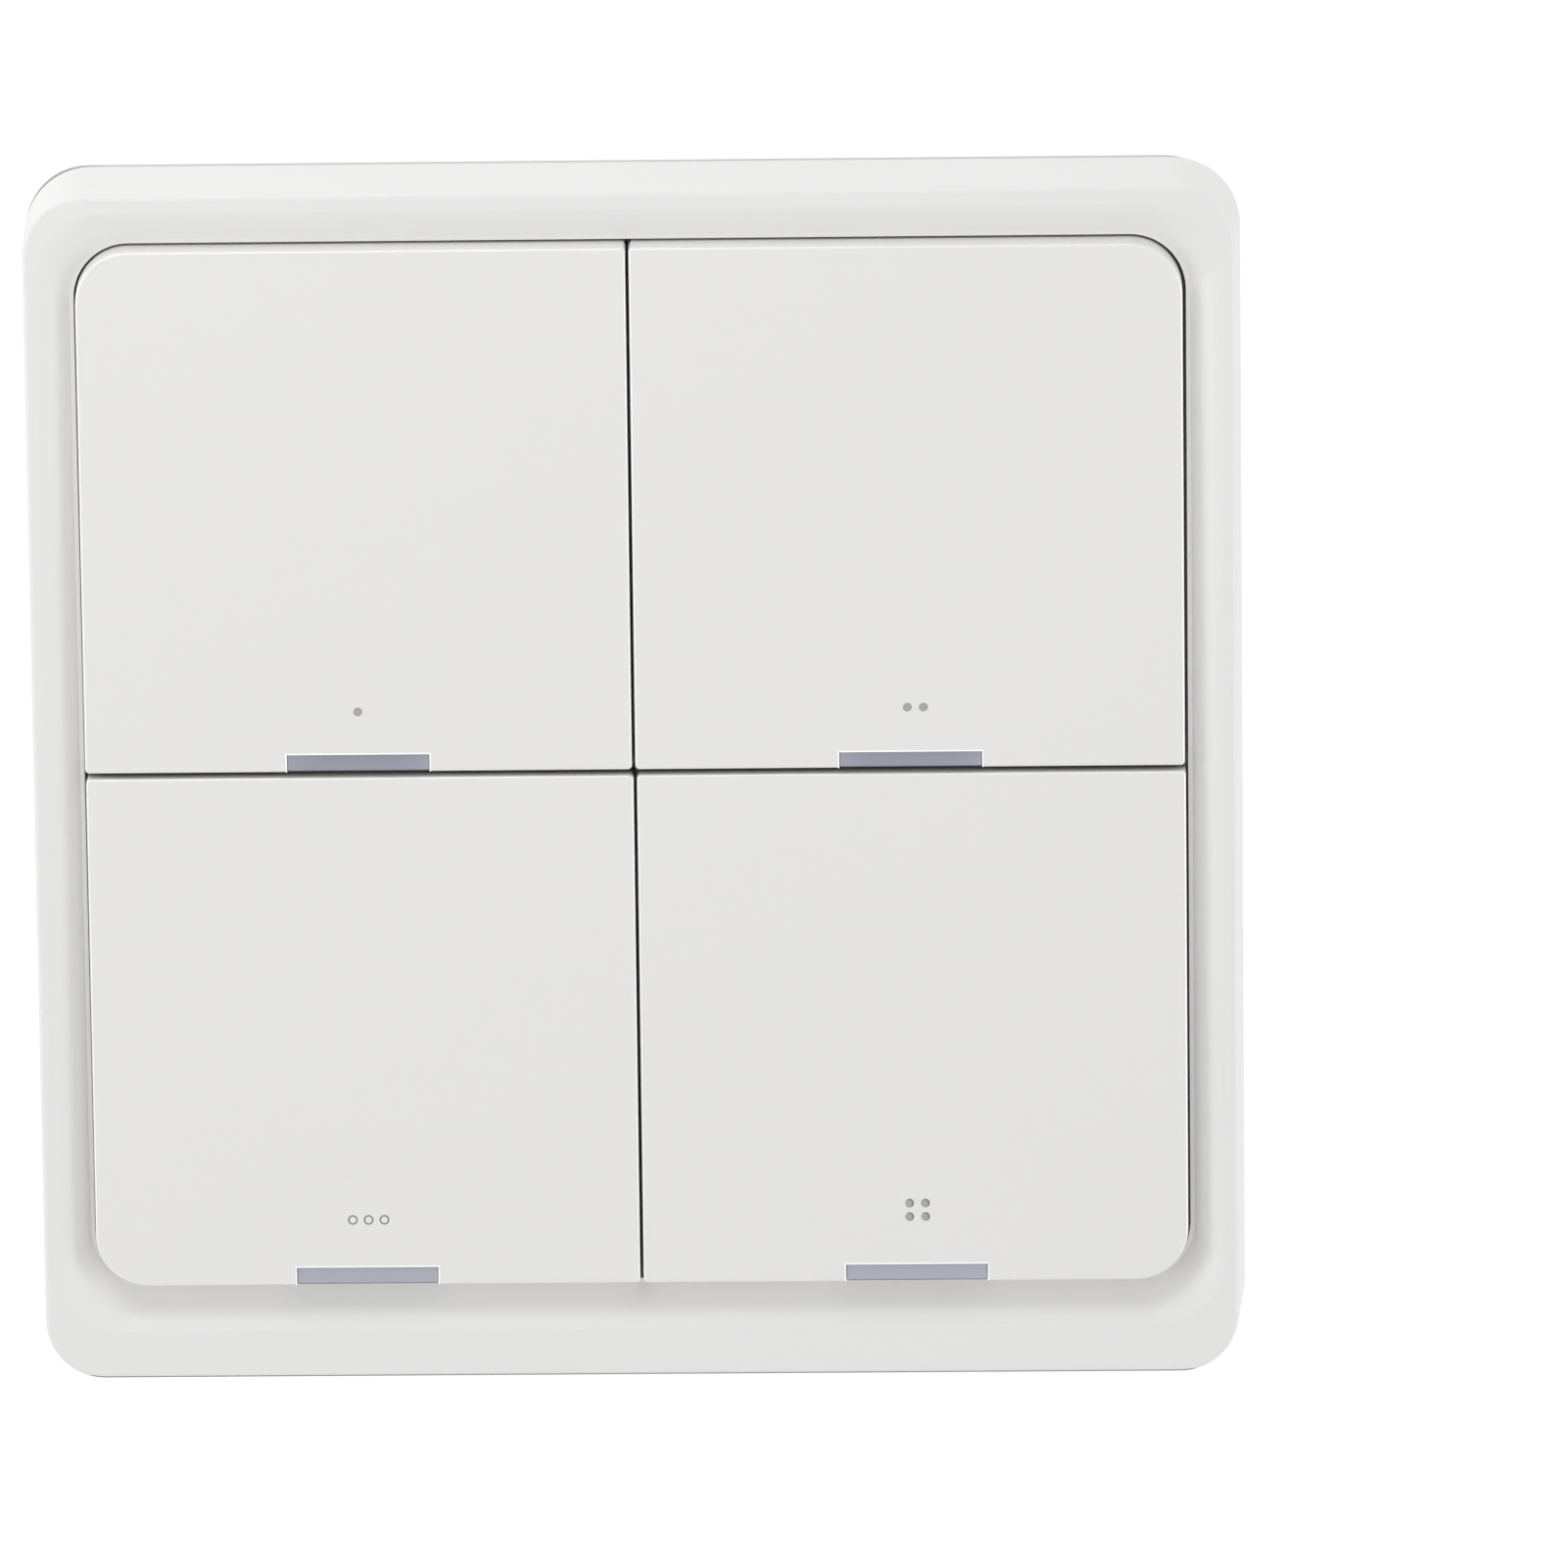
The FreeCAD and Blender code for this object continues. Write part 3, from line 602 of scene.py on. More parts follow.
def key_additions(number):
    """Ribs, window backing, hinge ears and pins, and the post that works the switch."""
    left, right, bottom, top = key_box(number)
    middle = (left + right) / 2
    hinge = hinge_heights[number]
    inner = grown((left, right, bottom, top), -key_skirt_wall + overlap)
    low = key_under - rib_depth
    over = key_under + overlap
    parts = []
    half = rib_half
    for x in (middle - rib_side, middle + rib_side):
        parts.append(block("rib", (x - half, x + half, inner[2], inner[3]), low, over))
    for drop in rib_drops:
        z = hinge - drop
        parts.append(block("rib", (inner[0], inner[1], z - half, z + half), low, over))
    from_x, to_x, _, from_z = window_box(number)
    parts.append(block("backing", (from_x - backing_side, to_x + backing_side, from_z,
                                   from_z + backing_above), key_skirt_end, over))
    for side in (-1, 1):
        near = middle + side * ear_side
        ends = sorted((near, near - side * ear_width))
        parts.append(block("ear", (*ends, hinge - ear_half, hinge + ear_half),
                           hinge_depth - pin_radius, over))
        parts.append(round_bar("pin", (near - side * pin_root, -hinge_depth, hinge),
                               (near + side * pin_reach, -hinge_depth, hinge), pin_radius))
    post = hinge - actuator_lever
    parts.append(round_bar("post", (middle, -over, post), (middle, -post_end, post), post_radius))
    parts.append(round_bar("post_tip", (middle, -post_end - 0.02, post),
                           (middle, -post_tip_end, post), post_radius, post_tip_radius))
    return parts


def painted_shade_in_cross(finish):
    """Share of painted shade: the sides of the keys along the cross gap, away from their front
    edge.
    """
    x, y, z = finish.axes()
    behind = y + key_face
    upright = (abs(x) < gap_beside / 2 + 0.1) * finish.step(behind, *fade_beside)
    near = abs(z - cross_height) < gap_above / 2 + key_top_lean + 0.02
    return (upright + near * finish.step(behind, *fade_above)).clamped()


def painted_edge_sheen(finish):
    """Share of painted sheen: the rounding between the sides and the face."""
    behind = finish.axes("Y")[0] + key_face
    return (behind > 0.012) * (behind < key_edge_round) * sheen_share


# Key tone: painted light slants it, painted shade darkens the cross gap and a painted sheen lies on
# the edges.
key_white = moulded("key_white", (0.924, 0.918, 0.909), 0.42, 0.0001, 0.027, marks=0.3, across=0.8,
                    shade=painted_shade_in_cross, gloss=painted_edge_sheen)
# Window lips: pure white with a mirror share, a painted highlight along the edges of each window.
lip_white = moulded("lip_white", (1.0, 1.0, 1.0), 0.3, 0.0001, 0.003, gloss=lambda finish: sheen_share)
for number in keys:
    outer = []
    skirt_box, face_box = key_outlines(number)
    skirt = back_edge(key_skirt_end, back_round)
    skirt += [(0.0, key_flare_end)] if number < 3 else []
    edge = front_edge(key_face, key_edge_round, round_steps)
    for outline, profile in ((skirt_box, skirt), (face_box, edge)):
        outer += [loop(grown(outline, -inset), depth, *key_radii(number, inset))
                  for inset, depth in profile]
    key = skinned("key_shell_%d" % number, outer, False)
    hollow = skinned("hollow", [loop(grown(key_box(number), -key_skirt_wall), depth,
                                     *key_radii(number, key_skirt_wall))
                                for depth in (key_skirt_end - 1, key_under)], False)
    combine(key, [hollow], "DIFFERENCE")
    combine(key, key_additions(number), "UNION")
    left, right, bottom, top = window_box(number)
    cuts = [block("notch", (left, right, bottom - 1, top), key_skirt_end - 1, key_face + 1)]
    for x, z in dot_centres(number):
        pit = round_bar("pit", (x, -key_face - 1, z), (x, -key_face + dot_sink, z),
                        mark_radius(number), steps=32)
        if number == ring_key:
            core = round_bar("core", (x, -key_face - 2, z), (x, -key_face + 1, z),
                             ring_radius - dot_line, steps=32)
            combine(pit, [core], "DIFFERENCE")
        cuts.append(pit)
    combine(key, cuts, "DIFFERENCE")
    dressed(key, key_white, "key_%d" % number, "key_white", "key_cap_%d" % number)
    # The lips round the window notch carry the painted highlight.
    lips = [block("window_lip_%d" % number, side, key_face - 0.05, key_face + lip_rise)
            for side in ((left - lip_width, left, bottom, top),
                         (right, right + lip_width, bottom, top),
                         (left - lip_width, right + lip_width, top, top + lip_width))]
    dressed(combine(lips[0], lips[1:], "UNION"), lip_white, "key_%d" % number, "key_white")


# Light windows: smoky blue-grey polycarbonate bars, pressed into the notch in the lower edge of
# each key. They carry the light of the indicator to the front. Their tone is darker on the upper
# keys, lighter on the lower keys and lighter at the ends, as painted light.

window_recess = 0.2
window_ease = 0.02             # by which the bar is smaller than its notch on each side
# The smoke is darker on the upper keys and lighter on the lower keys as painted light.
smoke_upper_shaded, smoke_lower_lit = (0.33, 0.35, 0.42, 1), (0.46, 0.48, 0.555, 1)    # upper, lower keys
smoke_end_lit, smoke_foot = (0.55, 0.57, 0.63, 1), (0.18, 0.18, 0.2, 1)
smoke_behind = (0.85, 0.845, 0.84, 1)
foot_from, foot_full = 0.1, 0.04              # share of the height
behind_from, behind_full = 0.35, 0.7          # behind the key's face

smoke = Finish("window_smoke")
along_x, along_z = smoke.parts(smoke.node("ShaderNodeUVMap", {}, "UV"), "XY")
# Painted light: the ends of each bar are lighter.
painted_end_light = (abs(along_x - 0.5) * 2.0) ** 6.0
y, z = smoke.axes("YZ")
smoke_tone = smoke.blend(z > 0.0, smoke_lower_lit, smoke_upper_shaded)
smoke_tone = smoke.blend(painted_end_light * 0.5, smoke_tone, smoke_end_lit)
smoke_tone = smoke.blend(smoke.step(along_z, foot_from, foot_full), smoke_tone, smoke_foot)
smoke_tone = smoke.blend(smoke.step(y + key_face, behind_from, behind_full), smoke_tone,
                         smoke_behind)
window_smoke = smoke.surface(Base_Color=smoke_tone, Roughness=smoke.noise(0.003) * 0.1 + 0.3,
                             Normal=smoke.bump(smoke.noise(0.0002), 0.000003))
for number in keys:
    window = grown(window_box(number), -window_ease)
    front = key_face - window_recess
    rows = [loop(grown(window, -inset), depth, 0.12)
            for inset, depth in ((0.0, key_skirt_end), (0.0, front - 0.1),
                                 (0.03, front - 0.03), (0.1, front))]
    bar = skinned("window_bar_%d" % number, rows, False)
    uv = bar.data.uv_layers.new(name="along")
    for corner in bar.data.loops:
        x, _, z = bar.data.vertices[corner.vertex_index].co / MM
        uv.data[corner.index].uv = ((x - window[0]) / (window[1] - window[0]),
                                    (z - window[2]) / (window[3] - window[2]))
    dressed(bar, window_smoke, "key_%d" % number, "window_smoke", "light_window_%d" % number)


# Count marks: one dot, two dots, three rings and four dots. They are shallow pits, and their
# floor is darkened by laser. Painted shadow darkens the edge of each floor, most along its upper
# right.

mark_thick, mark_rise = 0.08, 0.01
mark_margin = 0.02             # by which a mark goes into the wall of its pit
mark_shadow_starts = {1: 1.02, 2: 1.02, 3: 0.0, 4: 0.8}     # radii from the pale side to where the painted shadow starts


class Pattern(Nodes):
    """Geometry nodes with named sizes, which can make several pieces."""

    def __init__(self, name, **sizes):
        super().__init__(bpy.data.node_groups.new(name, "GeometryNodeTree"))
        self.sizes = sizes
        outside = self.tree.interface
        outside.new_socket("Shape", in_out="OUTPUT", socket_type="NodeSocketGeometry")
        kinds = {bool: "Bool", int: "Int", float: "Float", bpy.types.Object: "Object",
                 bpy.types.Material: "Material"}
        for size, value in sizes.items():
            kind = value if isinstance(value, type) else type(value)
            outside.new_socket(size, in_out="INPUT", socket_type="NodeSocket" + kinds[kind])
        inlet = self.tree.nodes.new("NodeGroupInput")
        for size in sizes:
            setattr(self, size, Wire(self, inlet.outputs[size]))

    def vector(self, x=0.0, y=0.0, z=0.0):
        return self.node("ShaderNodeCombineXYZ", {"X": x, "Y": y, "Z": z})

    def moved(self, shape, shift, turn=(0, 0, 0)):
        return self.node("GeometryNodeTransform", {"Geometry": shape, "Translation": shift,
                                                   "Rotation": turn})

    def box(self, x, y, z):
        return self.node("GeometryNodeMeshCube", {"Size": self.vector(x, y, z)}, "Mesh")

    def repeated(self, shape, points):
        return self.node("GeometryNodeInstanceOnPoints", {"Points": points, "Instance": shape})

    def grid(self, columns, rows, pitch, row_pitch):
        """Upright grid of points about the origin."""
        flat = self.node("GeometryNodeMeshGrid",
                         {"Size X": pitch * (columns - 1), "Size Y": row_pitch * (rows - 1),
                          "Vertices X": columns, "Vertices Y": rows}, "Mesh")
        return self.moved(flat, (0, 0, 0), (math.pi / 2, 0, 0))

    def set_out(self, shape):
        """The shape on a grid about X, Y, Z, all from the pattern's own sizes."""
        points = self.grid(self.Columns, self.Rows, self.Pitch, self.RowPitch)
        return self.moved(self.repeated(shape, points), self.vector(self.X, self.Y, self.Z))

    def finished(self, shape, material):
        solid = self.node("GeometryNodeRealizeInstances", {"Geometry": shape})
        solid = self.node("GeometryNodeSetMaterial", {"Geometry": solid, "Material": material})
        self.node("NodeGroupOutput", {"Shape": solid})

    def piece(self, name, **changes):
        """Plain mesh object made with these sizes."""
        piece = made(name, bmesh.new())
        step = piece.modifiers.new("pattern", "NODES")
        step.node_group = self.tree
        for item in self.tree.interface.items_tree:
            if item.in_out == "INPUT":
                step[item.identifier] = changes.get(item.name, self.sizes[item.name])
        return baked(piece)


mark = Finish("mark_grey")
# This share is painted shadow at the edge of each mark, strongest along the upper right.
painted_shadow_share = mark.node("ShaderNodeAttribute", {}, "Fac", attribute_name="rim")
mark_tone = mark.blend(mark.noise(0.00012, 3.0), (0.44, 0.43, 0.425, 1), (0.53, 0.52, 0.515, 1))
mark_tone = mark.blend(painted_shadow_share, mark_tone, (0.22, 0.214, 0.21, 1))
mark_grey = mark.surface(Base_Color=mark_tone, Roughness=mark.noise(0.0001) * 0.2 + 0.5,
                         Normal=mark.bump(mark.noise(0.00006), 0.00001))

marks = Pattern("count_marks", Columns=1, Rows=1, Pitch=dot_pitch * MM,
                RowPitch=dot_row_pitch * MM, Radius=0.0, Line=(dot_line + 2 * mark_margin) * MM,
                Thickness=mark_thick * MM, Edge=1.0, Ring=False, X=0.0, Y=0.0, Z=0.0)
disc = marks.node("GeometryNodeMeshCylinder",
                  {"Vertices": 32, "Fill Segments": 8, "Radius": marks.Radius,
                   "Depth": marks.Thickness}, "Mesh")
path = marks.node("GeometryNodeCurvePrimitiveCircle",
                  {"Resolution": 32, "Radius": marks.Radius - marks.Line / 2}, "Curve",
                  mode="RADIUS")
section = marks.node("GeometryNodeCurvePrimitiveQuadrilateral",
                     {"Width": marks.Line, "Height": marks.Thickness}, mode="RECTANGLE")
ring = marks.node("GeometryNodeCurveToMesh", {"Curve": path, "Profile Curve": section})
one_mark = marks.node("GeometryNodeSwitch", {"Switch": marks.Ring, "False": disc, "True": ring},
                      input_type="GEOMETRY")
flat = marks.node("ShaderNodeVectorMath", {0: marks.node("GeometryNodeInputPosition", {}),
                                           1: (1, 1, 0)}, operation="MULTIPLY")
pale_side = marks.vector(marks.Radius * -0.22, marks.Radius * -0.12)
away = marks.node("ShaderNodeVectorMath", {0: flat, 1: pale_side}, "Value", operation="DISTANCE")
one_mark = marks.node("GeometryNodeStoreNamedAttribute",
                      {"Geometry": one_mark, "Name": "rim",
                       "Value": away / marks.Radius > marks.Edge},
                      data_type="FLOAT", domain="POINT")
one_mark = marks.moved(one_mark, (0, 0, 0), (math.pi / 2, 0, 0))
marks.finished(marks.set_out(one_mark), mark_grey)
for number in keys:
    centres = dot_centres(number)
    xs, zs = sorted({x for x, _ in centres}), sorted({z for _, z in centres})
    group = marks.piece("count_marks_%d" % number, Columns=len(xs), Rows=len(zs),
                        Ring=number == ring_key, Edge=mark_shadow_starts[number],
                        Radius=(mark_radius(number) + mark_margin) * MM,
                        X=(xs[0] + xs[-1]) / 2 * MM,
                        Y=-(key_face - dot_sink + mark_rise - mark_thick / 2) * MM,
                        Z=(zs[0] + zs[-1]) / 2 * MM)
    dressed(group, mark_grey, "key_%d" % number, "key_white")


# Chassis: the white ABS carrier behind the keys, with hinge posts, switch windows, light slots
# and four screw bosses. It is a plain moulding that nobody sees, with a coarser skin.

def finished_node(material, *names):
    """Gives CAD nodes that keep their shape a material."""
    for name in names:
        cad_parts[name].data.materials[0] = material


chassis_white = moulded("chassis_white", (0.72, 0.718, 0.71), 0.6, 0.0003, 0.03)
finished_node(chassis_white, "chassis")


# Switches: four square tactile switches in black glass-filled nylon, soldered to the board, each
# with a round white plunger that a snap dome pushes back.

switch_black = moulded("switch_black", (0.025, 0.025, 0.026), 0.5, 0.00015, 0.2)
plunger_white = moulded("plunger_white", (0.78, 0.77, 0.74), 0.4, 0.0002)
for number in keys:
    finished_node(switch_black, "switch_body_%d" % number)
    finished_node(plunger_white, "switch_plunger_%d" % number)


# Boards: the main board and the small radio board, glass-filled epoxy laminate under a coat of
# lacquer that lets the copper lines show a little lighter.

def laminate(name, lacquer, over_copper):
    finish = Finish(name)
    upright = finish.node("ShaderNodeMapping", {"Vector": finish.place(),
                                                "Rotation": (math.pi / 2, 0, 0)})
    lines = finish.node("ShaderNodeTexBrick",
                        {"Vector": upright, "Color1": (0, 0, 0, 1), "Color2": (0, 0, 0, 1),
                         "Mortar": (1, 1, 1, 1), "Scale": 400.0, "Mortar Size": 0.05,
                         "Mortar Smooth": 0.2, "Brick Width": 1.9, "Row Height": 0.62}, "Color",
                        offset=0.37, squash=1.4, squash_frequency=3)
    copper = finish.node("ShaderNodeSeparateColor", {"Color": lines}, "Red")
    weave = finish.noise(0.0005)
    tone = finish.blend(copper, lacquer, over_copper)
    tone = finish.blend(weave * 0.3, tone, (0.0, 0.0, 0.0, 1))
    return finish.surface(Base_Color=tone, Roughness=weave * 0.15 + 0.25,
                          Normal=finish.bump(copper, 0.00002))


finished_node(laminate("board_laminate", (0.012, 0.11, 0.05, 1), (0.03, 0.2, 0.09, 1)),
              "circuit_board")

board_front = 4.6
radio_front = 5.4
radio_box = (-8.0, 8.0, 16.05, 34.05)
radio_middle = 25.05
half_hole_radius, half_hole_pitch, half_hole_rows = 0.4, 1.5, range(-5, 6)
radio_laminate = laminate("radio_laminate", (0.01, 0.05, 0.12, 1), (0.03, 0.1, 0.22, 1))
radio_board = block("radio_board_blank", radio_box, board_front, radio_front)


# Radio parts: a pressed tinned-steel can with vent holes, a ceramic aerial block, the controller
# chip in moulded epoxy with its ring of pads, and the crystal in its metal case, all soldered on.

def metal(name, colour, roughness, stretch=(1, 1, 1)):
    """Bare or plated metal: fine lines along its rolling direction and a little staining."""
    finish = Finish(name)
    lines = finish.noise(0.0002, 3.0, finish.place(stretch))
    stain = finish.noise(0.004, 3.0)
    tone = finish.blend(stain, (*[c * 0.86 for c in colour], 1), (*colour, 1))
    rough = lines * 0.15 + stain * 0.08 + (roughness - 0.1)
    return finish.surface(Base_Color=tone, Metallic=1.0, Roughness=rough,
                          Normal=finish.bump(lines, 0.000004))


spread = Pattern("set_out", Block=bpy.types.Object, Finish=bpy.types.Material, Columns=1, Rows=1,
                 Pitch=0.0, RowPitch=0.0, X=0.0, Y=0.0, Z=0.0)
block_shape = spread.node("GeometryNodeObjectInfo", {"Object": spread.Block}, "Geometry")
spread.finished(spread.set_out(block_shape), spread.Finish)


def set_out(name, seed, material, grid, centre):
    """Copies of a seed, which is used up, about a centre; the grid has its counts and pitches."""
    columns, rows, pitch, row_pitch = grid
    piece = spread.piece(name, Block=seed, Finish=material, Columns=columns, Rows=rows,
                         Pitch=pitch * MM, RowPitch=row_pitch * MM,
                         X=centre[0] * MM, Y=-centre[1] * MM, Z=centre[2] * MM)
    bpy.data.objects.remove(seed)
    return piece


def soft_block(name, size, soften):
    """Block about the origin with its edges rounded, in mm: across, out of the wall, up."""
    across, out, up = size
    piece = block(name, (-across / 2, across / 2, -up / 2, up / 2), -out / 2, out / 2)
    edge = piece.modifiers.new("soften", "BEVEL")
    edge.width = soften * MM
    edge.segments = 3
    return baked(piece)


def placed(piece, x, depth, z):
    """The piece, moved to its place in mm."""
    piece.data.transform(Matrix.Translation(Vector((x, -depth, z)) * MM))
    return piece


def turned(name, centre, profile, steps=64):
    """Closed body turned about an axis square to the wall; the profile is (radius, depth)."""
    rows = [[Vector((centre[0] + radius * across, -depth, centre[1] + radius * along)) * MM
             for across, along in circle(steps)] for radius, depth in profile]
    return skinned(name, rows, False)


tin = metal("tinned_ends", (0.8, 0.79, 0.76), 0.35)


def tinned(name, seed, grid, centre):
    """Tinned ends or pads of the parts on the boards."""
    dressed(set_out(name, seed, tin, grid, centre), tin, "unit", "shield_steel")


half_hole = [(half_hole_radius, board_front - 1), (half_hole_radius, radio_front + 1)]
combine(radio_board, [turned("half_hole", (x, radio_middle + row * half_hole_pitch), half_hole, 16)
                      for x in radio_box[:2] for row in half_hole_rows], "DIFFERENCE")
dressed(radio_board, radio_laminate, "unit", "board_laminate", "radio_board")

shield_box = (-6.0, 6.0, 17.05, 28.05)
shield_front = 6.5
shield_corner, shield_round = 0.7, 0.3
vent_radius, vent_depth = 0.35, 0.2
vent_columns, vent_rows = (-3.6, -1.2, 1.2, 3.6), (20.0, 22.55, 25.1)
shield_rows = [(0.0, radio_front)] + front_edge(shield_front, shield_round)
shield = stacked("shield_can", shield_box, shield_rows, shield_corner)
vent_profile = [(vent_radius, shield_front - vent_depth), (vent_radius, shield_front + 1)]
combine(shield, [turned("vent", (x, z), vent_profile, 16) for x in vent_columns for z in vent_rows],
        "DIFFERENCE")
dressed(shield, metal("shield_steel", (0.72, 0.71, 0.69), 0.34, (0.1, 1, 1)), "unit",
        "shield_steel", "radio_shield")

antenna = (0.0, radio_front + 0.5, 32.05)
antenna_ceramic = moulded("antenna_ceramic", (0.62, 0.6, 0.55), 0.5, 0.0001, 0.05)
dressed(placed(soft_block("antenna_block", (8.4, 0.96, 1.96), 0.06), *antenna), antenna_ceramic,
        "unit", "ceramic", "antenna")
tinned("antenna_ends", soft_block("end", (0.6, 1.0, 2.0), 0.08), (2, 1, 8.4, 0.0), antenna)

chip = (16.0, board_front + 0.475, 25.05)
chip_epoxy = moulded("chip_epoxy", (0.028, 0.028, 0.03), 0.55, 0.00008, 0.2)
body = placed(soft_block("chip_body", (4.9, 0.85, 4.9), 0.06), *chip)
first_pin = (14.3, 26.75)
combine(body, [turned("first_pin_mark", first_pin, [(0.3, 5.46), (0.3, 6.0)], 24)], "DIFFERENCE")
dressed(body, chip_epoxy, "unit", "chip_epoxy", "controller_chip")
for name, pad, grid in (("chip_pads_beside", (0.5, 0.2, 0.26), (2, 8, 4.5, 0.5)),
                        ("chip_pads_above", (0.26, 0.2, 0.5), (8, 2, 0.5, 4.5))):
    tinned(name, soft_block("pad", pad, 0.03), grid, (chip[0], board_front + 0.1, chip[2]))

crystal = (16.0, board_front + 0.4, 30.05)
crystal_steel = metal("crystal_steel", (0.75, 0.74, 0.71), 0.28)
lid = placed(soft_block("crystal_lid", (2.8, 0.8, 2.1), 0.25), *crystal)
base = placed(soft_block("base", (3.2, 0.4, 2.5), 0.06), crystal[0], board_front + 0.2, crystal[2])
dressed(combine(lid, [base], "UNION"), crystal_steel, "unit", "shield_steel", "crystal")


# Chip capacitors and indicator lights: small blocks in a row and in the four corners of a grid,
# each with tinned ends.

capacitor_ceramic = moulded("capacitor_ceramic", (0.42, 0.3, 0.2), 0.5, 0.0001, 0.06)
led_resin = moulded("led_resin", (0.86, 0.84, 0.66), 0.28, 0.0002, 0.02)
led_low, led_high, led_apart = -35.13, 2.0, 38.85
end_length = 0.35
small_parts = (("capacitors", "ceramic", capacitor_ceramic, (2.0, 1.0, 1.25), (1, 5, 0.0, 3.2),
                (-12.0, radio_middle)),
               ("indicator_leds", "led_resin", led_resin, (1.6, 0.6, 0.8),
                (2, 2, led_apart, led_high - led_low), (0.0, (led_low + led_high) / 2)))
for node, slot, material, (across, out, up), grid, middle in small_parts:
    centre = (middle[0], board_front + out / 2, middle[1])
    body = soft_block("seed", (across - 0.3, out - 0.04, up - 0.04), 0.05)
    dressed(set_out(node + "_bodies", body, material, grid, centre), material, "unit", slot, node)
    left_end, right_end = [placed(soft_block("end", (end_length, out, up), 0.08),
                                  side * (across - end_length) / 2, 0, 0) for side in (-1, 1)]
    tinned(node + "_ends", combine(left_end, [right_end], "UNION"), grid, centre)


# Battery: a coin cell of stainless steel in a round black cup, with two nickel-plated spring
# contacts. The cell is a pressed can, crimped over the seal of a slightly smaller cap.

cell_place = (0.0, -11.05)
cell_back = 2.4
can = [(9.4, 0.0), (9.72, 0.04), (9.9, 0.13), (10.0, 0.3), (10.0, 2.62), (9.95, 2.73),
       (9.84, 2.79), (9.6, 2.8), (9.16, 2.78), (9.02, 2.7), (8.9, 2.7), (8.8, 2.82),
       (8.8, 3.06), (8.74, 3.16), (8.6, 3.2)]      # radius, and rise above the back
cell_steel = metal("cell_steel", (0.74, 0.73, 0.71), 0.3, (1, 1, 0.15))
cell = turned("coin_cell_can", cell_place, [(radius, cell_back + rise) for radius, rise in can])
dressed(cell, cell_steel, "unit", "cell_steel", "coin_cell")
finished_node(moulded("holder_black", (0.03, 0.03, 0.031), 0.5, 0.0002, 0.2), "battery_holder")
finished_node(metal("spring_nickel", (0.78, 0.74, 0.66), 0.26, (0.12, 1, 1)),
              "battery_contact_negative", "battery_contact_positive")


# Rear cover: a flat white cover with windows for the battery and for the heads of the wall
# screws, held by four countersunk steel screws with a cross slot and a cut thread.

finished_node(moulded("cover_white", (0.72, 0.718, 0.71), 0.6, 0.0003, 0.03), "rear_cover")

screw_steel = metal("screw_steel", (0.6, 0.59, 0.57), 0.3)
screw_reach = 29.55
screw_back = 2.0
thread_turns, thread_start, thread_pitch = 7, 0.98, 0.4
thread_crest, thread_root = 0.99, 0.76
cross_long, cross_wide, cross_deep = 1.4, 0.25, 0.4
screw_profile = [(1.82, 0.0), (1.9, 0.08), (1.0, 0.9)]
for turn in range(thread_turns):
    crest = thread_start + turn * thread_pitch
    screw_profile += [(thread_crest, crest), (thread_root, crest + thread_pitch / 2)]
screw_profile += [(0.97, 3.8), (0.7, 4.0)]
screw = turned("screw", (0, 0), screw_profile, 32)
slots = [block("slot", (-across, across, -up, up), -1.0, cross_deep)
         for across, up in ((cross_long, cross_wide), (cross_wide, cross_long))]
combine(screw, slots, "DIFFERENCE")
screws = set_out("cover_screws", screw, screw_steel, (2, 2, 2 * screw_reach, 2 * screw_reach),
                 (0.0, screw_back, 0.0))
dressed(screws, screw_steel, "unit", "screw_steel", "rear_cover_screws")


# Wall plate: one flat moulding in white ABS with a locating ring. Two slots take the wall
# screws, and eight narrow pads on the ring grip the frame. Its tone is set below white as painted
# shade along its edge, and painted shade greys the edge at the corners.

plate_outline = (-42.96, 42.84, -42.96, 42.96)
plate_corners = (4.75, 4.75, 5.3, 4.48)     # lower left, lower right, upper right, upper left
plate_edge, plate_field, plate_round = 1.2, 1.6, 0.2
ring_half, ring_corner, ring_wall, ring_top, ring_round = 40.45, 2.25, 1.4, 3.9, 0.3
well_corner = 1.2
slot_x, slot_reach, slot_radius = 30.0, 4.0, 2.1
seat_margin, seat_depth = 2.4, 0.8
strip_x, strip_half_width, strip_half_length = 17.0, 4.0, 23.0
strip_thick, strip_corner, strip_clearance = 0.8, 1.0, 0.1
ejector_x, ejector_z, ejector_radius, ejector_depth = 33.0, 34.0, 2.0, 0.05
corner_shade_from, corner_shade_full = 80.0, 83.0     # distance along both axes from the middle

pads = Pattern("grip_pads", Reach=40.25 * MM, Place=27.0 * MM, Length=5.0 * MM, Width=1.0 * MM,
               Height=2.6 * MM, Level=2.5 * MM)
upright_pads = pads.repeated(pads.box(pads.Width, pads.Height, pads.Length),
                             pads.grid(2, 2, pads.Reach * 2.0, pads.Place * 2.0))
level_pads = pads.repeated(pads.box(pads.Length, pads.Height, pads.Width),
                           pads.grid(2, 2, pads.Place * 2.0, pads.Reach * 2.0))
both = pads.node("GeometryNodeJoinGeometry", {"Geometry": upright_pads})
pads.tree.links.new(level_pads.socket, both.socket.node.inputs["Geometry"])


def strip_box(side):
    x = side * strip_x
    return (x - strip_half_width, x + strip_half_width, -strip_half_length, strip_half_length)


def long_hole(name, x, reach, radius, back, front):
    """Upright-sided hole along the plate with round ends."""
    return stacked(name, (x - reach, x + reach, -radius, radius), ((0.0, back), (0.0, front)),
                   radius * 0.999)


def painted_corner_shade(finish):
    """Share of painted shade on the edge at the four corners."""
    x, y, z = finish.axes()
    return finish.step(abs(x) + abs(z), corner_shade_from, corner_shade_full) * (y < -0.15) * 0.5


# The plate's tone is set darker than white ABS as painted shade along its edge, with more painted
# shade at the corners.
plate_white = moulded("plate_white", (0.6, 0.597, 0.59), 0.5, 0.00025, 0.012, shade=painted_corner_shade)
pads.finished(pads.moved(both, pads.vector(0.0, pads.Level * -1.0, 0.0)), plate_white)

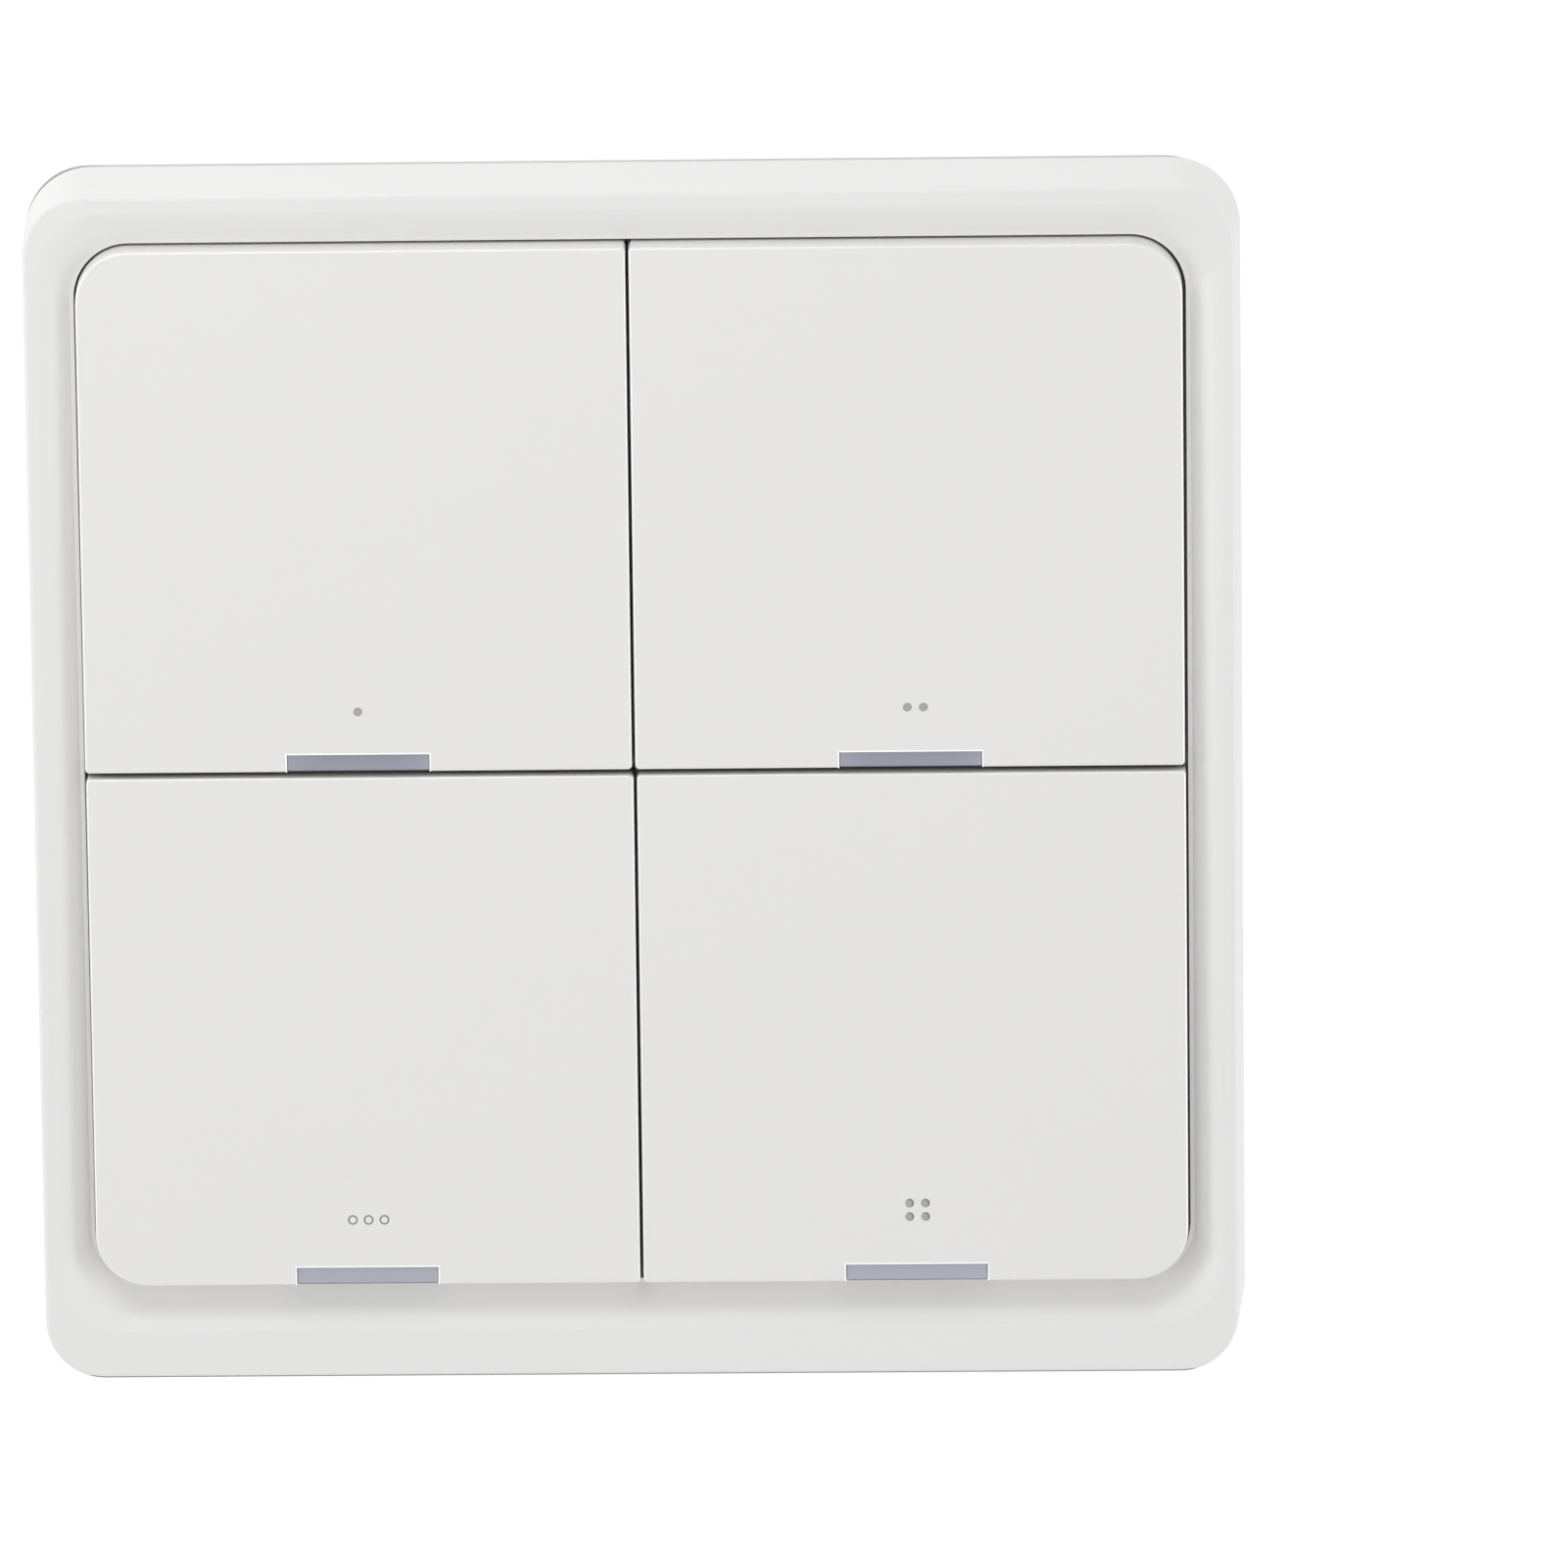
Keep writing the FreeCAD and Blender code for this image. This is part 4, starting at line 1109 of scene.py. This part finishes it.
plate_rows = back_edge(0.0, plate_round, 4) + front_edge(plate_edge, plate_round)
plate = stacked("wall_plate_moulding", plate_outline, plate_rows, *plate_corners)
ring_rows = [(0.0, plate_edge - 0.5)] + front_edge(ring_top, ring_round)
ring = stacked("ring", square(ring_half), ring_rows, ring_corner)
well_rows = rounding((0.0, plate_field), (-ring_round, plate_field + ring_round), True, 4)
well_rows += [(-ring_round, ring_top + 1)]
well = stacked("well", square(ring_half - ring_wall - ring_round), well_rows, well_corner)
combine(ring, [well], "DIFFERENCE")
combine(plate, [ring], "UNION")
combine(plate, [pads.piece("grip_pads")], "UNION")
cuts = []
for side in (-1, 1):
    cuts.append(long_hole("slot", side * slot_x, slot_reach, slot_radius, -1.0, ring_top))
    cuts.append(long_hole("seat", side * slot_x, slot_reach + seat_margin,
                          slot_radius + seat_margin, seat_depth, ring_top))
    cuts.append(stacked("recess", grown(strip_box(side), strip_clearance),
                        ((0.0, -1.0), (0.0, strip_thick)), strip_corner))
    for z in (-ejector_z, ejector_z):
        cuts.append(turned("ejector_mark", (side * ejector_x, z),
                           [(ejector_radius, -1.0), (ejector_radius, ejector_depth)], 32))
combine(plate, cuts, "DIFFERENCE")
dressed(plate, plate_white, "wall_mount", "plate_white", "wall_plate")


# Adhesive strips: two strips of double-sided foam tape in the recesses at the back of the plate.
# Their cut edges bulge a little and show the open cells of the foam.

foam = Finish("foam_tape")
cells = foam.node("ShaderNodeTexVoronoi", {"Vector": foam.place(), "Scale": 5200.0}, "Distance")
patch = foam.noise(0.01, 3.0)
foam_tone = foam.blend(foam.step(cells, 0.1, 0.5), (0.52, 0.52, 0.51, 1), (0.66, 0.66, 0.65, 1))
foam_tone = foam.blend(patch * 0.25, foam_tone, (0.74, 0.74, 0.73, 1))
foam_tape = foam.surface(Base_Color=foam_tone, Roughness=patch * 0.2 + 0.62,
                         Normal=foam.bump(cells, 0.00004))
strip_rows = ((0.12, 0.0), (0.05, 0.06), (0.02, 0.2), (0.0, 0.4), (0.02, 0.6), (0.05, 0.74),
              (0.12, strip_thick))
for side, name in ((-1, "left"), (1, "right")):
    strip = stacked("foam_strip_" + name, strip_box(side), strip_rows, strip_corner)
    dressed(strip, foam_tape, "wall_mount", "foam_tape", "adhesive_strip_" + name)
